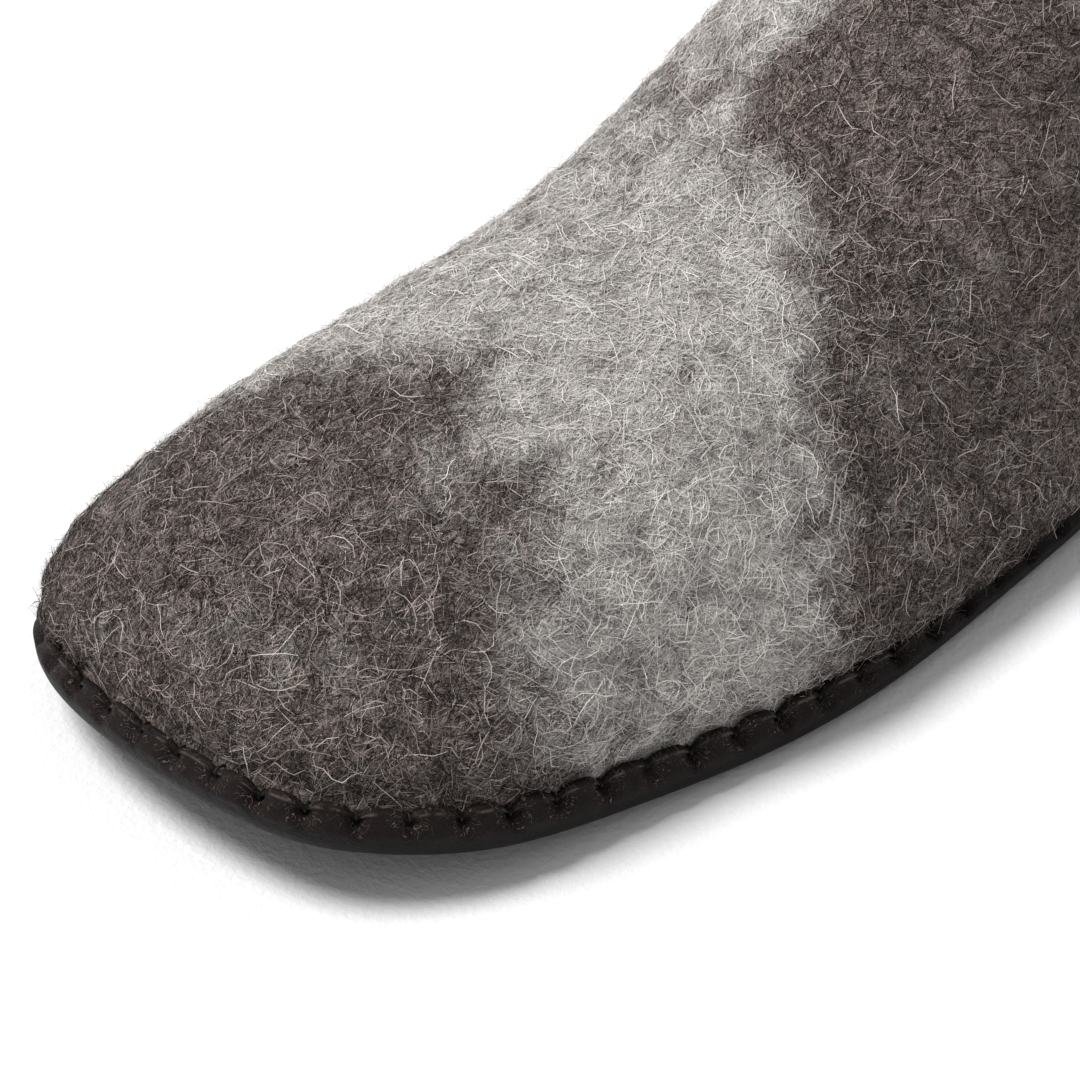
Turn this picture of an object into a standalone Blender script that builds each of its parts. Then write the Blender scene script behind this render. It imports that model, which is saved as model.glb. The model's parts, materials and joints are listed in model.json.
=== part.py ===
"""A left felt slipper: a thick felt upper on a moulded leather sole, with a loose felt insole.

Units are metres. The toe points to -Y, the heel to +Y and the outer side of the foot to +X. The tread is at
Z = 0, and the shoe is centred on the origin. While it is shaped, Y runs from 0 at the toe tip of the felt to
LENGTH at its heel.
"""
import math
from collections import namedtuple

import bmesh
import bpy
import numpy as np
from mathutils import Vector

# Sizes of the felt shell over its last
LENGTH = 0.278
BALL_WIDTH = 0.0914
VAMP_LENGTH = 0.153
INSTEP_HEIGHT = 0.070
SIDE_HEIGHT = 0.048
HEEL_HEIGHT = 0.058
FELT_WALL = 0.004
FELT_SWELL = 0.0014

# Sizes of the leather cup and the insole
LEATHER = 0.0025
RIM_HEIGHT = 0.008
FOLD_ROUND = 0.0006
TOE_SPRING = 0.008
ARCH_RISE = 0.002
INSOLE = 0.004
CLEARANCE = 0.0003

# Shares of LENGTH: where the toe spring starts, the ends of the arch, and the poles of the toe and heel caps
SPRING_START = 0.22
ARCH_FRONT = 0.46
ARCH_BACK = 0.70
TOE_POLE = 0.10
HEEL_POLE = 0.90

# Columns on each side ahead of the throat and behind it, and rows above the lowest ones. Behind the throat
# the columns crowd towards it, a little at the outline and more along the collar, whose front is a round U.
VAMP_COLUMNS = 32
QUARTER_COLUMNS = 24
UPPER_ROWS = 10
OUTLINE_CROWDING = 1.25
COLLAR_CROWDING = 2.0

# The last: station is a share of LENGTH, lateral and medial of BALL_WIDTH, crest of INSTEP_HEIGHT. The crest
# behind the throat is where the felt would close if the collar weren't cut. fullness squares the section off.
Section = namedtuple("Section", "station lateral medial crest fullness")
SECTIONS = [
    Section(0.00, -0.027, 0.027, 0.000, 2.3),
    Section(0.02, 0.156, 0.356, 0.176, 2.3),
    Section(0.06, 0.262, 0.511, 0.331, 2.3),
    Section(0.14, 0.359, 0.563, 0.493, 2.25),
    Section(0.26, 0.474, 0.525, 0.557, 2.1),
    Section(0.37, 0.505, 0.481, 0.596, 2.0),
    Section(0.46, 0.510, 0.421, 0.809, 2.0),
    Section(0.55, 0.475, 0.376, 1.000, 2.0),
    Section(0.68, 0.397, 0.357, 1.140, 2.1),
    Section(0.82, 0.371, 0.348, 1.250, 2.2),
    Section(0.94, 0.265, 0.252, 1.150, 2.3),
    Section(1.00, 0.000, 0.000, 0.000, 2.3),
]

# The cut edge of the collar: back is the share of the way from throat to heel. The edge stands at SIDE_HEIGHT
# plus these shares of what the throat and the heel rise above it.
Collar = namedtuple("Collar", "back throat heel")
COLLAR = [
    Collar(0.00, 1.00, 0.00),
    Collar(0.10, 0.70, 0.00),
    Collar(0.24, 0.30, 0.00),
    Collar(0.45, 0.00, 0.00),
    Collar(0.70, 0.00, 0.22),
    Collar(0.88, 0.00, 0.78),
    Collar(1.00, 0.00, 1.00),
]

# The rim's outside stands this far outside the felt. The felt's lower edge clears the fold inside the rim.
RIM_OUT = CLEARANCE + LEATHER
FOLD = LEATHER + FOLD_ROUND
INSOLE_FOOT = LEATHER + CLEARANCE
FELT_FOOT = FOLD + CLEARANCE


def smooth_curve(keys, values):
    """The natural cubic through the values at the keys."""
    x = np.array(keys, float)
    y = np.array(values, float)
    h = np.diff(x)
    count = len(x)
    left = np.eye(count)
    right = np.zeros(count)
    for i in range(1, count - 1):
        left[i, i - 1:i + 2] = h[i - 1], 2 * (h[i - 1] + h[i]), h[i]
        right[i] = 6 * ((y[i + 1] - y[i]) / h[i] - (y[i] - y[i - 1]) / h[i - 1])
    bend = np.linalg.solve(left, right)

    def value(at):
        i = min(max(int(np.searchsorted(x, at)) - 1, 0), count - 2)
        before = at - x[i]
        after = x[i + 1] - at
        arc = (bend[i] * after ** 3 + bend[i + 1] * before ** 3) / (6 * h[i])
        start = (y[i] / h[i] - bend[i] * h[i] / 6) * after
        end = (y[i + 1] / h[i] - bend[i + 1] * h[i] / 6) * before
        return arc + start + end

    return value


def turn(station):
    """The angle round the outline, 0 at the toe tip and pi at the heel, whose station this is."""
    return math.acos(1 - 2 * min(max(station, 0), 1))


def closed_outline():
    """The outline's distance to the outer side by angle, negative angles being the inner side."""
    turns = [turn(s.station) for s in SECTIONS]
    keys = [-t for t in reversed(turns[1:])] + turns
    shares = [-s.medial for s in reversed(SECTIONS[1:])] + [s.lateral for s in SECTIONS]
    lap = 2 * math.pi
    before = [k - lap for k in keys[:-1]]
    after = [k + lap for k in keys[1:]]
    return smooth_curve(before + keys + after, shares[:-1] + shares + shares[1:])


ACROSS = closed_outline()
TURNS = [turn(s.station) for s in SECTIONS]
CREST = smooth_curve(TURNS, [s.crest for s in SECTIONS])
FULLNESS = smooth_curve(TURNS, [s.fullness for s in SECTIONS])
COLLAR_THROAT = smooth_curve([c.back for c in COLLAR], [c.throat for c in COLLAR])
COLLAR_HEEL = smooth_curve([c.back for c in COLLAR], [c.heel for c in COLLAR])
THROAT_TURN = turn(VAMP_LENGTH / LENGTH)
THROAT_HEIGHT = INSTEP_HEIGHT * CREST(THROAT_TURN)


def eased(share):
    """0 below 0, 1 above 1, and a soft step between."""
    share = min(max(share, 0), 1)
    return share * share * (3 - 2 * share)


def feather(phi):
    """The felt's outline in plan, where it stands on the leather."""
    return Vector((BALL_WIDTH * ACROSS(phi), LENGTH / 2 * (1 - math.cos(phi))))


def outward(phi):
    """The outline's unit normal in plan."""
    step = 0.001
    along = feather(phi + step) - feather(phi - step)
    return Vector((along.y, -along.x)).normalized()


def beside(phi, distance):
    """The outline moved outward."""
    return feather(phi) + outward(phi) * distance


def spine(y):
    """The middle of the shoe in plan, no nearer to its ends than the poles."""
    y = min(max(y, TOE_POLE * LENGTH), HEEL_POLE * LENGTH)
    phi = turn(y / LENGTH)
    return Vector((BALL_WIDTH * (ACROSS(phi) + ACROSS(-phi)) / 2, y))


def tread(plan):
    """The height of the sole's underside: the toe springs up, and the arch lifts on the inner side."""
    station = plan.y / LENGTH
    spring = TOE_SPRING * max(1 - station / SPRING_START, 0) ** 2
    middle = (ARCH_FRONT + ARCH_BACK) / 2
    along = eased(1 - abs(station - middle) / (ARCH_BACK - middle))
    inner = eased((spine(plan.y).x - plan.x) / (BALL_WIDTH / 2) + 0.25)
    return spring + ARCH_RISE * along * inner


def dome(plan):
    """The height of the felt's outside over its lower edge."""
    phi = turn(plan.y / LENGTH)
    outer = BALL_WIDTH * ACROSS(phi)
    inner = BALL_WIDTH * ACROSS(-phi)
    half = max((outer - inner) / 2, 1e-9)
    share = min(abs(plan.x - (outer + inner) / 2) / half, 1)
    fullness = FULLNESS(phi)
    return INSTEP_HEIGHT * CREST(phi) * (1 - share ** fullness) ** (1 / fullness)


def share_at(edge, end, height):
    """How far from an edge point towards an end point the felt reaches a height, 1 where it never does."""
    low = 0.0
    high = 1.0
    for _ in range(40):
        middle = (low + high) / 2
        if dome(edge.lerp(end, middle)) < height:
            low = middle
        else:
            high = middle
    return high


def felt_point(phi, end, share):
    """A point of the felt's outside. Above the rim the felt swells out, and eases back further up."""
    plan = feather(phi).lerp(end, share)
    height = dome(plan)
    over = height + FELT_FOOT - RIM_HEIGHT
    swell = eased(over / RIM_HEIGHT) * (1 - eased(over / RIM_HEIGHT - 0.75)) if over > 0 else 0
    out = plan + outward(phi) * FELT_SWELL * swell
    return Vector((out.x, out.y, tread(plan) + FELT_FOOT + height))


def collar_height(y):
    """The height of the cut edge over the felt's lower edge, behind the throat."""
    back = (y - VAMP_LENGTH) / (LENGTH - VAMP_LENGTH)
    throat = COLLAR_THROAT(back) * (THROAT_HEIGHT - SIDE_HEIGHT)
    return SIDE_HEIGHT + throat + COLLAR_HEEL(back) * (HEEL_HEIGHT - SIDE_HEIGHT)


def column_angles(crowding):
    """Angles round the outline, the same on both sides, closer together just behind the throat."""
    vamp = [THROAT_TURN * i / VAMP_COLUMNS for i in range(VAMP_COLUMNS + 1)]
    quarter = [THROAT_TURN + (math.pi - THROAT_TURN) * (i / QUARTER_COLUMNS) ** crowding
               for i in range(1, QUARTER_COLUMNS + 1)]
    half = vamp + quarter
    return [-phi for phi in reversed(half[1:-1])] + half


ANGLES = column_angles(OUTLINE_CROWDING)
COLLAR_ANGLES = column_angles(COLLAR_CROWDING)
RIM_SIDES = [beside(phi, RIM_OUT).x for phi in ANGLES]
CENTRE = Vector(((max(RIM_SIDES) + min(RIM_SIDES)) / 2, LENGTH / 2, 0))


def skin(name, rings):
    """An open surface through rings of points, one point for each angle. Points that meet are merged."""
    mesh = bpy.data.meshes.new(name)
    surface = bmesh.new()
    lines = [[surface.verts.new(point - CENTRE) for point in ring] for ring in rings]
    for lower, upper in zip(lines, lines[1:]):
        for i in range(len(lower)):
            j = (i + 1) % len(lower)
            surface.faces.new((lower[i], lower[j], upper[j], upper[i]))
    bmesh.ops.remove_doubles(surface, verts=surface.verts, dist=0.00001)
    surface.to_mesh(mesh)
    surface.free()
    mesh.shade_smooth()
    shape = bpy.data.objects.new(name, mesh)
    SHOE.objects.link(shape)
    return shape


def thicken(shape, thickness):
    """Give a surface its thickness on its inner side."""
    wall = shape.modifiers.new("wall", "SOLIDIFY")
    wall.thickness = thickness
    wall.offset = -1
    wall.use_even_offset = True


def finish(shape, name, colour, roughness):
    """A material of the piece's own."""
    material = bpy.data.materials.new(name)
    material.use_nodes = True
    shader = material.node_tree.nodes["Principled BSDF"]
    shader.inputs["Base Color"].default_value = (*colour, 1)
    shader.inputs["Roughness"].default_value = roughness
    shader.inputs["Metallic"].default_value = 0
    shape.data.materials.append(material)


def felt_column(phi, collar_phi):
    """Points of the felt from its lower edge to the ridge, or to the collar behind the throat."""
    foot = feather(phi)
    edge = feather(collar_phi)
    top = 1 if abs(phi) <= THROAT_TURN else share_at(edge, spine(edge.y), collar_height(edge.y))
    end = foot + (edge.lerp(spine(edge.y), top) - foot) / top
    heights = [RIM_HEIGHT - FELT_FOOT, RIM_HEIGHT - FELT_FOOT / 2, RIM_HEIGHT * 1.2, RIM_HEIGHT * 1.75]
    shares = [0] + [share_at(foot, end, height) for height in heights]
    first = math.acos(1 - shares[-1])
    last = math.acos(1 - top)
    for row in range(1, UPPER_ROWS + 1):
        shares.append(1 - math.cos(first + (last - first) * row / UPPER_ROWS))
    return [felt_point(phi, end, share) for share in shares]


def make_upper():
    columns = [felt_column(phi, collar_phi) for phi, collar_phi in zip(ANGLES, COLLAR_ANGLES)]
    upper = skin("upper", list(zip(*columns)))
    thicken(upper, FELT_WALL)
    finish(upper, "mottled_felt", (0.16, 0.14, 0.125), 0.95)


def on_tread(plan, rise):
    return Vector((plan.x, plan.y, tread(plan) + rise))


def sole_column(phi):
    """Points of the leather's outside from the middle of the tread, round the fold and up the rim."""
    flat_edge = beside(phi, RIM_OUT - FOLD)
    middle = spine(feather(phi).y)
    points = [on_tread(middle.lerp(flat_edge, share), 0) for share in (0, 0.35, 0.7, 1)]
    for quarter in (1 / 3, 2 / 3, 1):
        angle = quarter * math.pi / 2
        plan = beside(phi, RIM_OUT - FOLD * (1 - math.sin(angle)))
        points.append(on_tread(plan, FOLD * (1 - math.cos(angle))))
    points.append(on_tread(beside(phi, RIM_OUT), RIM_HEIGHT))
    return points


def make_sole():
    columns = [sole_column(phi) for phi in ANGLES]
    sole = skin("sole", list(zip(*columns)))
    thicken(sole, LEATHER)
    finish(sole, "dark_leather", (0.022, 0.016, 0.013), 0.55)


def felt_inside(phi, height):
    """A plan point just inside the felt wall where its outside stands at a height."""
    step = 0.002
    edge = feather(phi)
    share = share_at(edge, spine(edge.y), height)
    here, up, before, after = (felt_point(angle, spine(feather(angle).y), part) for angle, part in
                               ((phi, share), (phi, share + step), (phi - step, share), (phi + step, share)))
    normal = (after - before).cross(up - here).normalized()
    return (here - normal * (FELT_WALL + CLEARANCE)).xy


def insole_column(phi):
    edge = felt_inside(phi, INSOLE)
    middle = spine(feather(phi).y)
    return [on_tread(middle.lerp(edge, share), INSOLE_FOOT) for share in (0, 0.35, 0.7, 1)]


def make_insole():
    columns = [insole_column(phi) for phi in ANGLES]
    insole = skin("insole", list(zip(*columns)))
    thicken(insole, INSOLE)
    finish(insole, "insole_felt", (0.2, 0.18, 0.165), 0.95)


for leftover in list(bpy.data.objects):
    bpy.data.objects.remove(leftover)
SHOE = bpy.data.collections.new("felt_slipper")
bpy.context.scene.collection.children.link(SHOE)
make_upper()
make_sole()
make_insole()
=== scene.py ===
"""The looks of a left felt slipper: thick mottled wool felt on a dark leather sole, with a felt insole.

The file is laid out as a Blender add-on and runs as a script. Each piece has its own operator. Lengths are
metres in the row frame: the toe points to -Y, the heel to +Y and the outer side of the foot to +X.
"""

import json
import math
from collections import namedtuple

import bmesh
import bpy
import numpy as np
from bpy.props import FloatProperty, FloatVectorProperty, IntProperty, PointerProperty
from mathutils import Matrix, Vector, noise

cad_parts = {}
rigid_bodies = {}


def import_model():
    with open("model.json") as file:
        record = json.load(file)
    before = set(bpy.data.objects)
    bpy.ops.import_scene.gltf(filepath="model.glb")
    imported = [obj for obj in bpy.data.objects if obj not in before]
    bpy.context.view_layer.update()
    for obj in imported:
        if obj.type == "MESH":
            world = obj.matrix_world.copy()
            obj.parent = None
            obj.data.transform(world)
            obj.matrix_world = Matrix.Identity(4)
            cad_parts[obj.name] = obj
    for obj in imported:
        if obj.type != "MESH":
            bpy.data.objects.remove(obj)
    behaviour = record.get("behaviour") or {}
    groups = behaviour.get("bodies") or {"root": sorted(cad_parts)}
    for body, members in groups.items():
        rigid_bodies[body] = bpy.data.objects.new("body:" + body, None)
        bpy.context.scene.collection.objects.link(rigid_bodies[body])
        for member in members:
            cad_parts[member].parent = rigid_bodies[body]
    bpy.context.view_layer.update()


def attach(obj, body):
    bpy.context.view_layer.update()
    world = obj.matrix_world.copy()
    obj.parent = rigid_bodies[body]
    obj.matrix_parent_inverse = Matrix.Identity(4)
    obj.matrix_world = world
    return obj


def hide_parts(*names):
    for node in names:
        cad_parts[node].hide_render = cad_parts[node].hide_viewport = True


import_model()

bl_info = {
    "name": "Felt Slipper",
    "version": (1, 0, 0),
    "blender": (4, 5, 0),
    "location": "3D View > Sidebar > Slipper",
    "description": "Makes a wool felt slipper with a leather sole around its packed solids",
    "category": "Object",
}

# The last: station is a share of the felt's length, lateral and medial of the ball's width, crest of the
# instep's height. Behind the throat the crest is where the felt would close over if it weren't cut.
Section = namedtuple("Section", "station lateral medial crest fullness")
SECTIONS = [
    Section(0.00, -0.027, 0.027, 0.000, 2.3),
    Section(0.02, 0.156, 0.356, 0.176, 2.3),
    Section(0.06, 0.262, 0.511, 0.331, 2.3),
    Section(0.14, 0.359, 0.563, 0.493, 2.25),
    Section(0.26, 0.474, 0.525, 0.557, 2.1),
    Section(0.37, 0.505, 0.481, 0.596, 2.0),
    Section(0.46, 0.510, 0.421, 0.809, 2.0),
    Section(0.55, 0.475, 0.376, 1.000, 2.0),
    Section(0.68, 0.397, 0.357, 1.140, 2.1),
    Section(0.82, 0.371, 0.348, 1.250, 2.2),
    Section(0.94, 0.265, 0.252, 1.150, 2.3),
    Section(1.00, 0.000, 0.000, 0.000, 2.3),
]

# The cut edge of the collar: back is the share of the way from throat to heel. The edge stands at the
# side's height plus these shares of what the throat and the heel rise above it.
Collar = namedtuple("Collar", "back throat heel")
COLLAR = [
    Collar(0.00, 1.00, 0.00),
    Collar(0.10, 0.70, 0.00),
    Collar(0.24, 0.30, 0.00),
    Collar(0.45, 0.00, 0.00),
    Collar(0.70, 0.00, 0.22),
    Collar(0.88, 0.00, 0.78),
    Collar(1.00, 0.00, 1.00),
]

# Soft troughs (negative depth) and swells of the felt. Places are shares of the felt's length, the ball's
# width and the instep's height from the toe's end. turn is the long axis in plan, in degrees.
Crease = namedtuple("Crease", "along across up long wide turn depth")
CREASES = [
    Crease(0.30, 0.30, 0.45, 0.085, 0.030, 25, -0.0011),
    Crease(0.40, 0.05, 0.60, 0.120, 0.035, 8, -0.0009),
    Crease(0.20, -0.05, 0.50, 0.060, 0.028, -20, -0.0007),
    Crease(0.12, 0.12, 0.40, 0.050, 0.030, 40, 0.0007),
    Crease(0.27, 0.00, 0.55, 0.070, 0.050, 0, 0.0008),
    Crease(0.35, 0.38, 0.30, 0.060, 0.035, 60, 0.0009),
    Crease(0.38, -0.36, 0.43, 0.056, 0.060, 0, 0.0009),
    Crease(0.62, 0.42, 0.50, 0.120, 0.050, 80, -0.0012),
    Crease(0.66, -0.38, 0.50, 0.110, 0.045, -80, -0.0012),
    Crease(0.86, 0.30, 0.50, 0.080, 0.040, 60, 0.0010),
    Crease(0.88, -0.28, 0.45, 0.080, 0.040, -55, -0.0009),
]

# The borders of the light patches in plan, in millimetres of the row frame. One reaches over the vamp from
# the inner side to the rim of the outer side, two lie over the quarters and one on the heel.
LIGHT_PATCHES = [
    [(-60, -104), (-42, -101), (-33, -93), (-22, -89), (-12, -84), (-5, -80), (-1, -88), (4, -94),
     (9, -92), (13, -89), (17, -96), (21, -105), (26, -110), (31, -114), (60, -117), (60, -72),
     (46, -71), (42, -66), (38, -58), (31, -56), (28, -51), (25, -43), (20, -40), (17, -34), (13, -31),
     (6, -30), (0, -29), (-2, -20), (-2, -8), (-4, 4), (-14, 14), (-32, 10), (-60, -6)],
    [(60, 10), (30, 14), (26, 30), (31, 48), (27, 62), (60, 66)],
    [(-60, 58), (-28, 52), (-24, 66), (-30, 84), (-26, 100), (-60, 104)],
    [(-8, 142), (-12, 126), (2, 118), (18, 122), (24, 142)],
]

# Behind the vamp the patches change, from this place on in millimetres and over this length: their borders
# lean forward for each part that they rise, and they are duller and softer.
QUARTERS_START = 5
QUARTERS_FADE = 30
PATCH_LEAN = 0.8
PATCH_LIGHT = 0.84
QUARTERS_DULLER = 0.22

# Widths of the patches' borders in millimetres, and how much wider they are at the toe and the quarters
BORDER = 10.0
TOE_BORDER = 13.0
TOE_START = -60
TOE_FADE = 20
QUARTERS_BORDER = 9.0

# Felting has made the borders wander: size in metres, reach in millimetres and seed of the noise
WANDERS = [(0.015, 4.0, 98), (0.005, 2.2, 154)]

# How much the tone varies in clouds and in flecks, and the painted shade of the lumps' hollows, more in
# light wool
CLOUD_SIZE = 0.011
CLOUD_TONE = 0.18
LUMP_PAINTED_SHADE = 0.24
LIGHT_WOOL_PAINTED_SHADE = 0.26
FLECK_SIZE = 0.0024
FLECK_TONE = 0.14

# Softer changes of tone: place and reach in millimetres in plan, turn in degrees, and how much lighter. The
# one low at the toe's front is painted shade.
Haze = namedtuple("Haze", "x y long wide turn lighter")
HAZES = [
    Haze(-18, -20, 15, 8, 0, -0.28),
    Haze(44, -86, 24, 9, 80, -0.08),
    Haze(30, -101, 10, 8, 60, -0.12),
    Haze(4, -106, 12, 8, 20, 0.12),
    Haze(-15, -127, 14, 6, 5, 0.10),
    # Painted shade on the low front of the toe
    Haze(8, -136, 30, 8, 12, -0.10),
    Haze(33, -64, 8, 7, 30, -0.12),
    Haze(22, -8, 26, 18, 90, -0.10),
    Haze(40, -44, 12, 6, 70, 0.10),
    Haze(12, -58, 9, 6, 40, 0.08),
    Haze(-24, -62, 14, 9, 60, -0.06),
]

# Where the row of stitches starts at the heel, in stitches
STITCH_SHIFT = 0.47

# Layers of wool fibre: number for each square metre, length, width and lift in metres, bend in radians,
# pieces of ribbon in a fibre, how far it turns from the nap in radians, how pale the dullest is, and
# whether one end stands free
Layer = namedtuple("Layer", "name density length width lift bend steps spread pale free")
LAYERS = [
    Layer("Matted", 2.7e6, 0.0019, 0.00012, 0.00022, 0.0, 1, 1.1, 0.00, False),
    Layer("Crossing", 8.6e5, 0.0052, 0.00008, 0.00050, 2.6, 4, 1.6, 0.05, False),
    Layer("Fuzz", 1.0e6, 0.0018, 0.00006, 0.00120, 0.0, 1, 3.1, 0.25, True),
    Layer("Stray", 3.2e4, 0.0085, 0.000045, 0.00190, 2.8, 6, 3.1, 0.25, True),
]
STRAND_SHAPES = 48

# The fibres are in four pieces: where each starts and ends along Y, and how thickly it is grown
Zone = namedtuple("Zone", "name start end share")
ZONES = [
    Zone("wool_toe", -1.0, -0.082, 1.45),
    Zone("wool_vamp", -0.082, -0.025, 1.40),
    Zone("wool_waist", -0.025, 0.055, 0.85),
    Zone("wool_heel", 0.055, 1.0, 0.75),
]


def metres(name, description, default):
    return FloatProperty(name=name, description=description, default=default, min=0, precision=5,
                         subtype="DISTANCE", unit="LENGTH")


def share(name, description, default):
    return FloatProperty(name=name, description=description, default=default, min=0, max=1,
                         subtype="FACTOR")


def colour(name, description, default):
    return FloatVectorProperty(name=name, description=description, default=default, min=0, max=1,
                               subtype="COLOR", size=3)


def degrees(name, description, default):
    return FloatProperty(name=name, description=description, default=math.radians(default),
                         subtype="ANGLE", unit="ROTATION")


def number(name, description, default):
    return FloatProperty(name=name, description=description, default=default, min=0)


class SlipperSizes(bpy.types.PropertyGroup):
    """Sizes of the solids, which the visible pieces keep."""

    length: metres("Length", "Outside length of the felt", 0.278)
    ball_width: metres("Ball width", "Width that the sections are shares of", 0.0914)
    vamp_length: metres("Vamp length", "From the toe to the throat", 0.153)
    instep_height: metres("Instep height", "Height that the crests are shares of", 0.070)
    side_height: metres("Side height", "Height of the collar at the sides", 0.048)
    heel_height: metres("Heel height", "Height of the collar at the heel", 0.058)
    felt_wall: metres("Felt wall", "Thickness of the felt", 0.004)
    felt_swell: metres("Felt swell", "How far the felt swells out over the rim", 0.0014)
    leather: metres("Leather", "Thickness of the leather", 0.0025)
    rim_height: metres("Rim height", "Height of the turned-up rim", 0.008)
    fold_round: metres("Fold round", "Inside radius of the leather's fold", 0.0006)
    toe_spring: metres("Toe spring", "How far the sole rises under the toe", 0.008)
    arch_rise: metres("Arch rise", "How far the sole rises under the arch", 0.002)
    insole: metres("Insole", "Thickness of the insole", 0.004)
    clearance: metres("Clearance", "Gap between pieces that touch", 0.0003)
    stitch_pitch: metres("Stitch pitch", "Distance between stitches", 0.007)
    spring_start: share("Spring start", "Share of the length where the toe spring starts", 0.22)
    arch_front: share("Arch front", "Share of the length where the arch starts", 0.46)
    arch_back: share("Arch back", "Share of the length where the arch ends", 0.70)
    toe_pole: share("Toe pole", "Share of the length where the toe's rows meet", 0.10)
    heel_pole: share("Heel pole", "Share of the length where the heel's rows meet", 0.90)


class WoolLooks(bpy.types.PropertyGroup):
    """The felt's lumps, colours and fibres."""

    lump_size: metres("Lump size", "Width of the small lumps", 0.0045)
    lump_height: metres("Lump height", "Height of the small lumps", 0.00055)
    swell_size: metres("Swell size", "Width of the broad unevenness", 0.020)
    swell_height: metres("Swell height", "Height of the broad unevenness", 0.0007)
    overhang: metres("Overhang", "How far the felt swells over the rim behind the toe", 0.0033)
    gather: metres("Gather", "How far a stitch pulls the felt in", 0.0007)
    nap_size: metres("Nap size", "Distance over which the nap turns", 0.028)
    # The shade colours are painted shade between the fibres, which the dullest fibres take as well
    dark_patch_shade: colour("Dark patch shade", "Shaded wool in the dark patches", (0.010, 0.0060, 0.0050))
    dark_tip: colour("Dark tip", "Bright fibres in the dark patches", (0.64, 0.520, 0.480))
    pale_patch_shade: colour("Pale patch shade", "Shaded wool in the light patches", (0.050, 0.034, 0.029))
    light_tip: colour("Light tip", "Bright fibres in the light patches", (0.94, 0.905, 0.865))
    density: number("Fibre density", "Share of the full number of fibres", 1.0)
    seed: IntProperty(name="Seed", description="Seed of the fibres", default=7, min=0)


class LeatherLooks(bpy.types.PropertyGroup):
    """The leather's colours, and how its rim is drawn in by the stitches."""

    lean: metres("Lean", "How far the lip leans in over the felt", 0.0010)
    side_drop: metres("Side drop", "How much lower the lip is behind the toe", 0.0021)
    pucker: metres("Pucker", "How far a stitch pulls the rim in", 0.0004)
    puff: metres("Puff", "How far the leather swells between stitches", 0.00025)
    scallop: metres("Scallop", "How far a stitch pulls the lip down", 0.0013)
    thread: metres("Thread", "Diameter of the stitch thread", 0.00042)
    hide: colour("Hide", "Colour of the smooth leather", (0.0045, 0.0029, 0.0029))
    brown: colour("Brown", "Colour of the leather near its lip", (0.0115, 0.0068, 0.0060))
    # Painted highlights on the ridges of the creases and along the lip, and the colour of rubbed wear
    wear_and_highlight: colour("Wear and highlight", "Colour of the leather where its creases are rubbed", (0.25, 0.195, 0.168))
    thread_colour: colour("Thread colour", "Colour of the thread", (0.008, 0.006, 0.0055))


class StageLooks(bpy.types.PropertyGroup):
    """The floor, the lights and the camera."""

    floor: colour("Floor", "Colour of the floor", (0.86, 0.86, 0.86))
    sky: number("Sky", "Strength of the soft light from all round", 0.44)
    key: number("Key", "Strength of the main light", 3.25)
    key_spread: degrees("Key spread", "Angle that the main light fills", 26)
    key_azimuth: degrees("Key azimuth", "Where in plan the main light comes from", 206)
    key_elevation: degrees("Key elevation", "Angle of the main light over the floor", 62)
    distance: metres("Camera distance", "From the camera to its target", 0.9)
    azimuth: degrees("Azimuth", "Turn of the camera to the outer side", 37.22)
    elevation: degrees("Elevation", "Angle of the camera over the floor", 39)
    roll: degrees("Roll", "Turn of the camera about its axis", 1.08)
    lens: number("Lens", "Focal length in millimetres", 227.1)


def smooth_curve(keys, values):
    """The natural cubic through the values at the keys, for a number or an array."""
    x = np.array(keys, float)
    y = np.array(values, float)
    h = np.diff(x)
    count = len(x)
    left = np.eye(count)
    right = np.zeros(count)
    for i in range(1, count - 1):
        left[i, i - 1:i + 2] = h[i - 1], 2 * (h[i - 1] + h[i]), h[i]
        right[i] = 6 * ((y[i + 1] - y[i]) / h[i] - (y[i] - y[i - 1]) / h[i - 1])
    bend = np.linalg.solve(left, right)

    def value(at):
        i = np.clip(np.searchsorted(x, at) - 1, 0, count - 2)
        before = at - x[i]
        after = x[i + 1] - at
        arc = (bend[i] * after ** 3 + bend[i + 1] * before ** 3) / (6 * h[i])
        start = (y[i] / h[i] - bend[i] * h[i] / 6) * after
        end = (y[i + 1] / h[i] - bend[i + 1] * h[i] / 6) * before
        return arc + start + end

    return value


def turn(station):
    """The angle round the outline, 0 at the toe tip and pi at the heel, whose station this is."""
    return np.arccos(1 - 2 * np.clip(station, 0, 1))


def eased(part):
    """0 below 0, 1 above 1, and a soft step between."""
    part = np.clip(part, 0, 1)
    return part * part * (3 - 2 * part)


def plan(x, y):
    """Points in plan."""
    return np.stack(np.broadcast_arrays(x, y), -1)


def blend(start, end, part):
    """Points that lie a part of the way from start to end."""
    return start + (end - start) * np.asarray(part)[..., None]


# How finely the rim is measured, and how often the search for a height halves its range
RIM_POINTS = 4001
HALVINGS = 40

# The arch lifts from a bit outside the middle, as a share of half the ball's width. The felt's swell starts
# to ease back this many rim heights over the rim.
ARCH_PAST_MIDDLE = 0.25
SWELL_EASES_BACK = 0.75

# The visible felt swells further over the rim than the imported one: from these distances behind the toe tip
# and over these lengths, less on the inner side, and not at the heel. It ends a reach over the lip.
OUTER_START = 0.040
OUTER_LENGTH = 0.060
OUTER_REACH = 0.016
INNER_START = 0.0015
INNER_LENGTH = 0.013
INNER_REACH = 0.006
INNER_SHARE = 0.6
HEEL_START = 0.78


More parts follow.
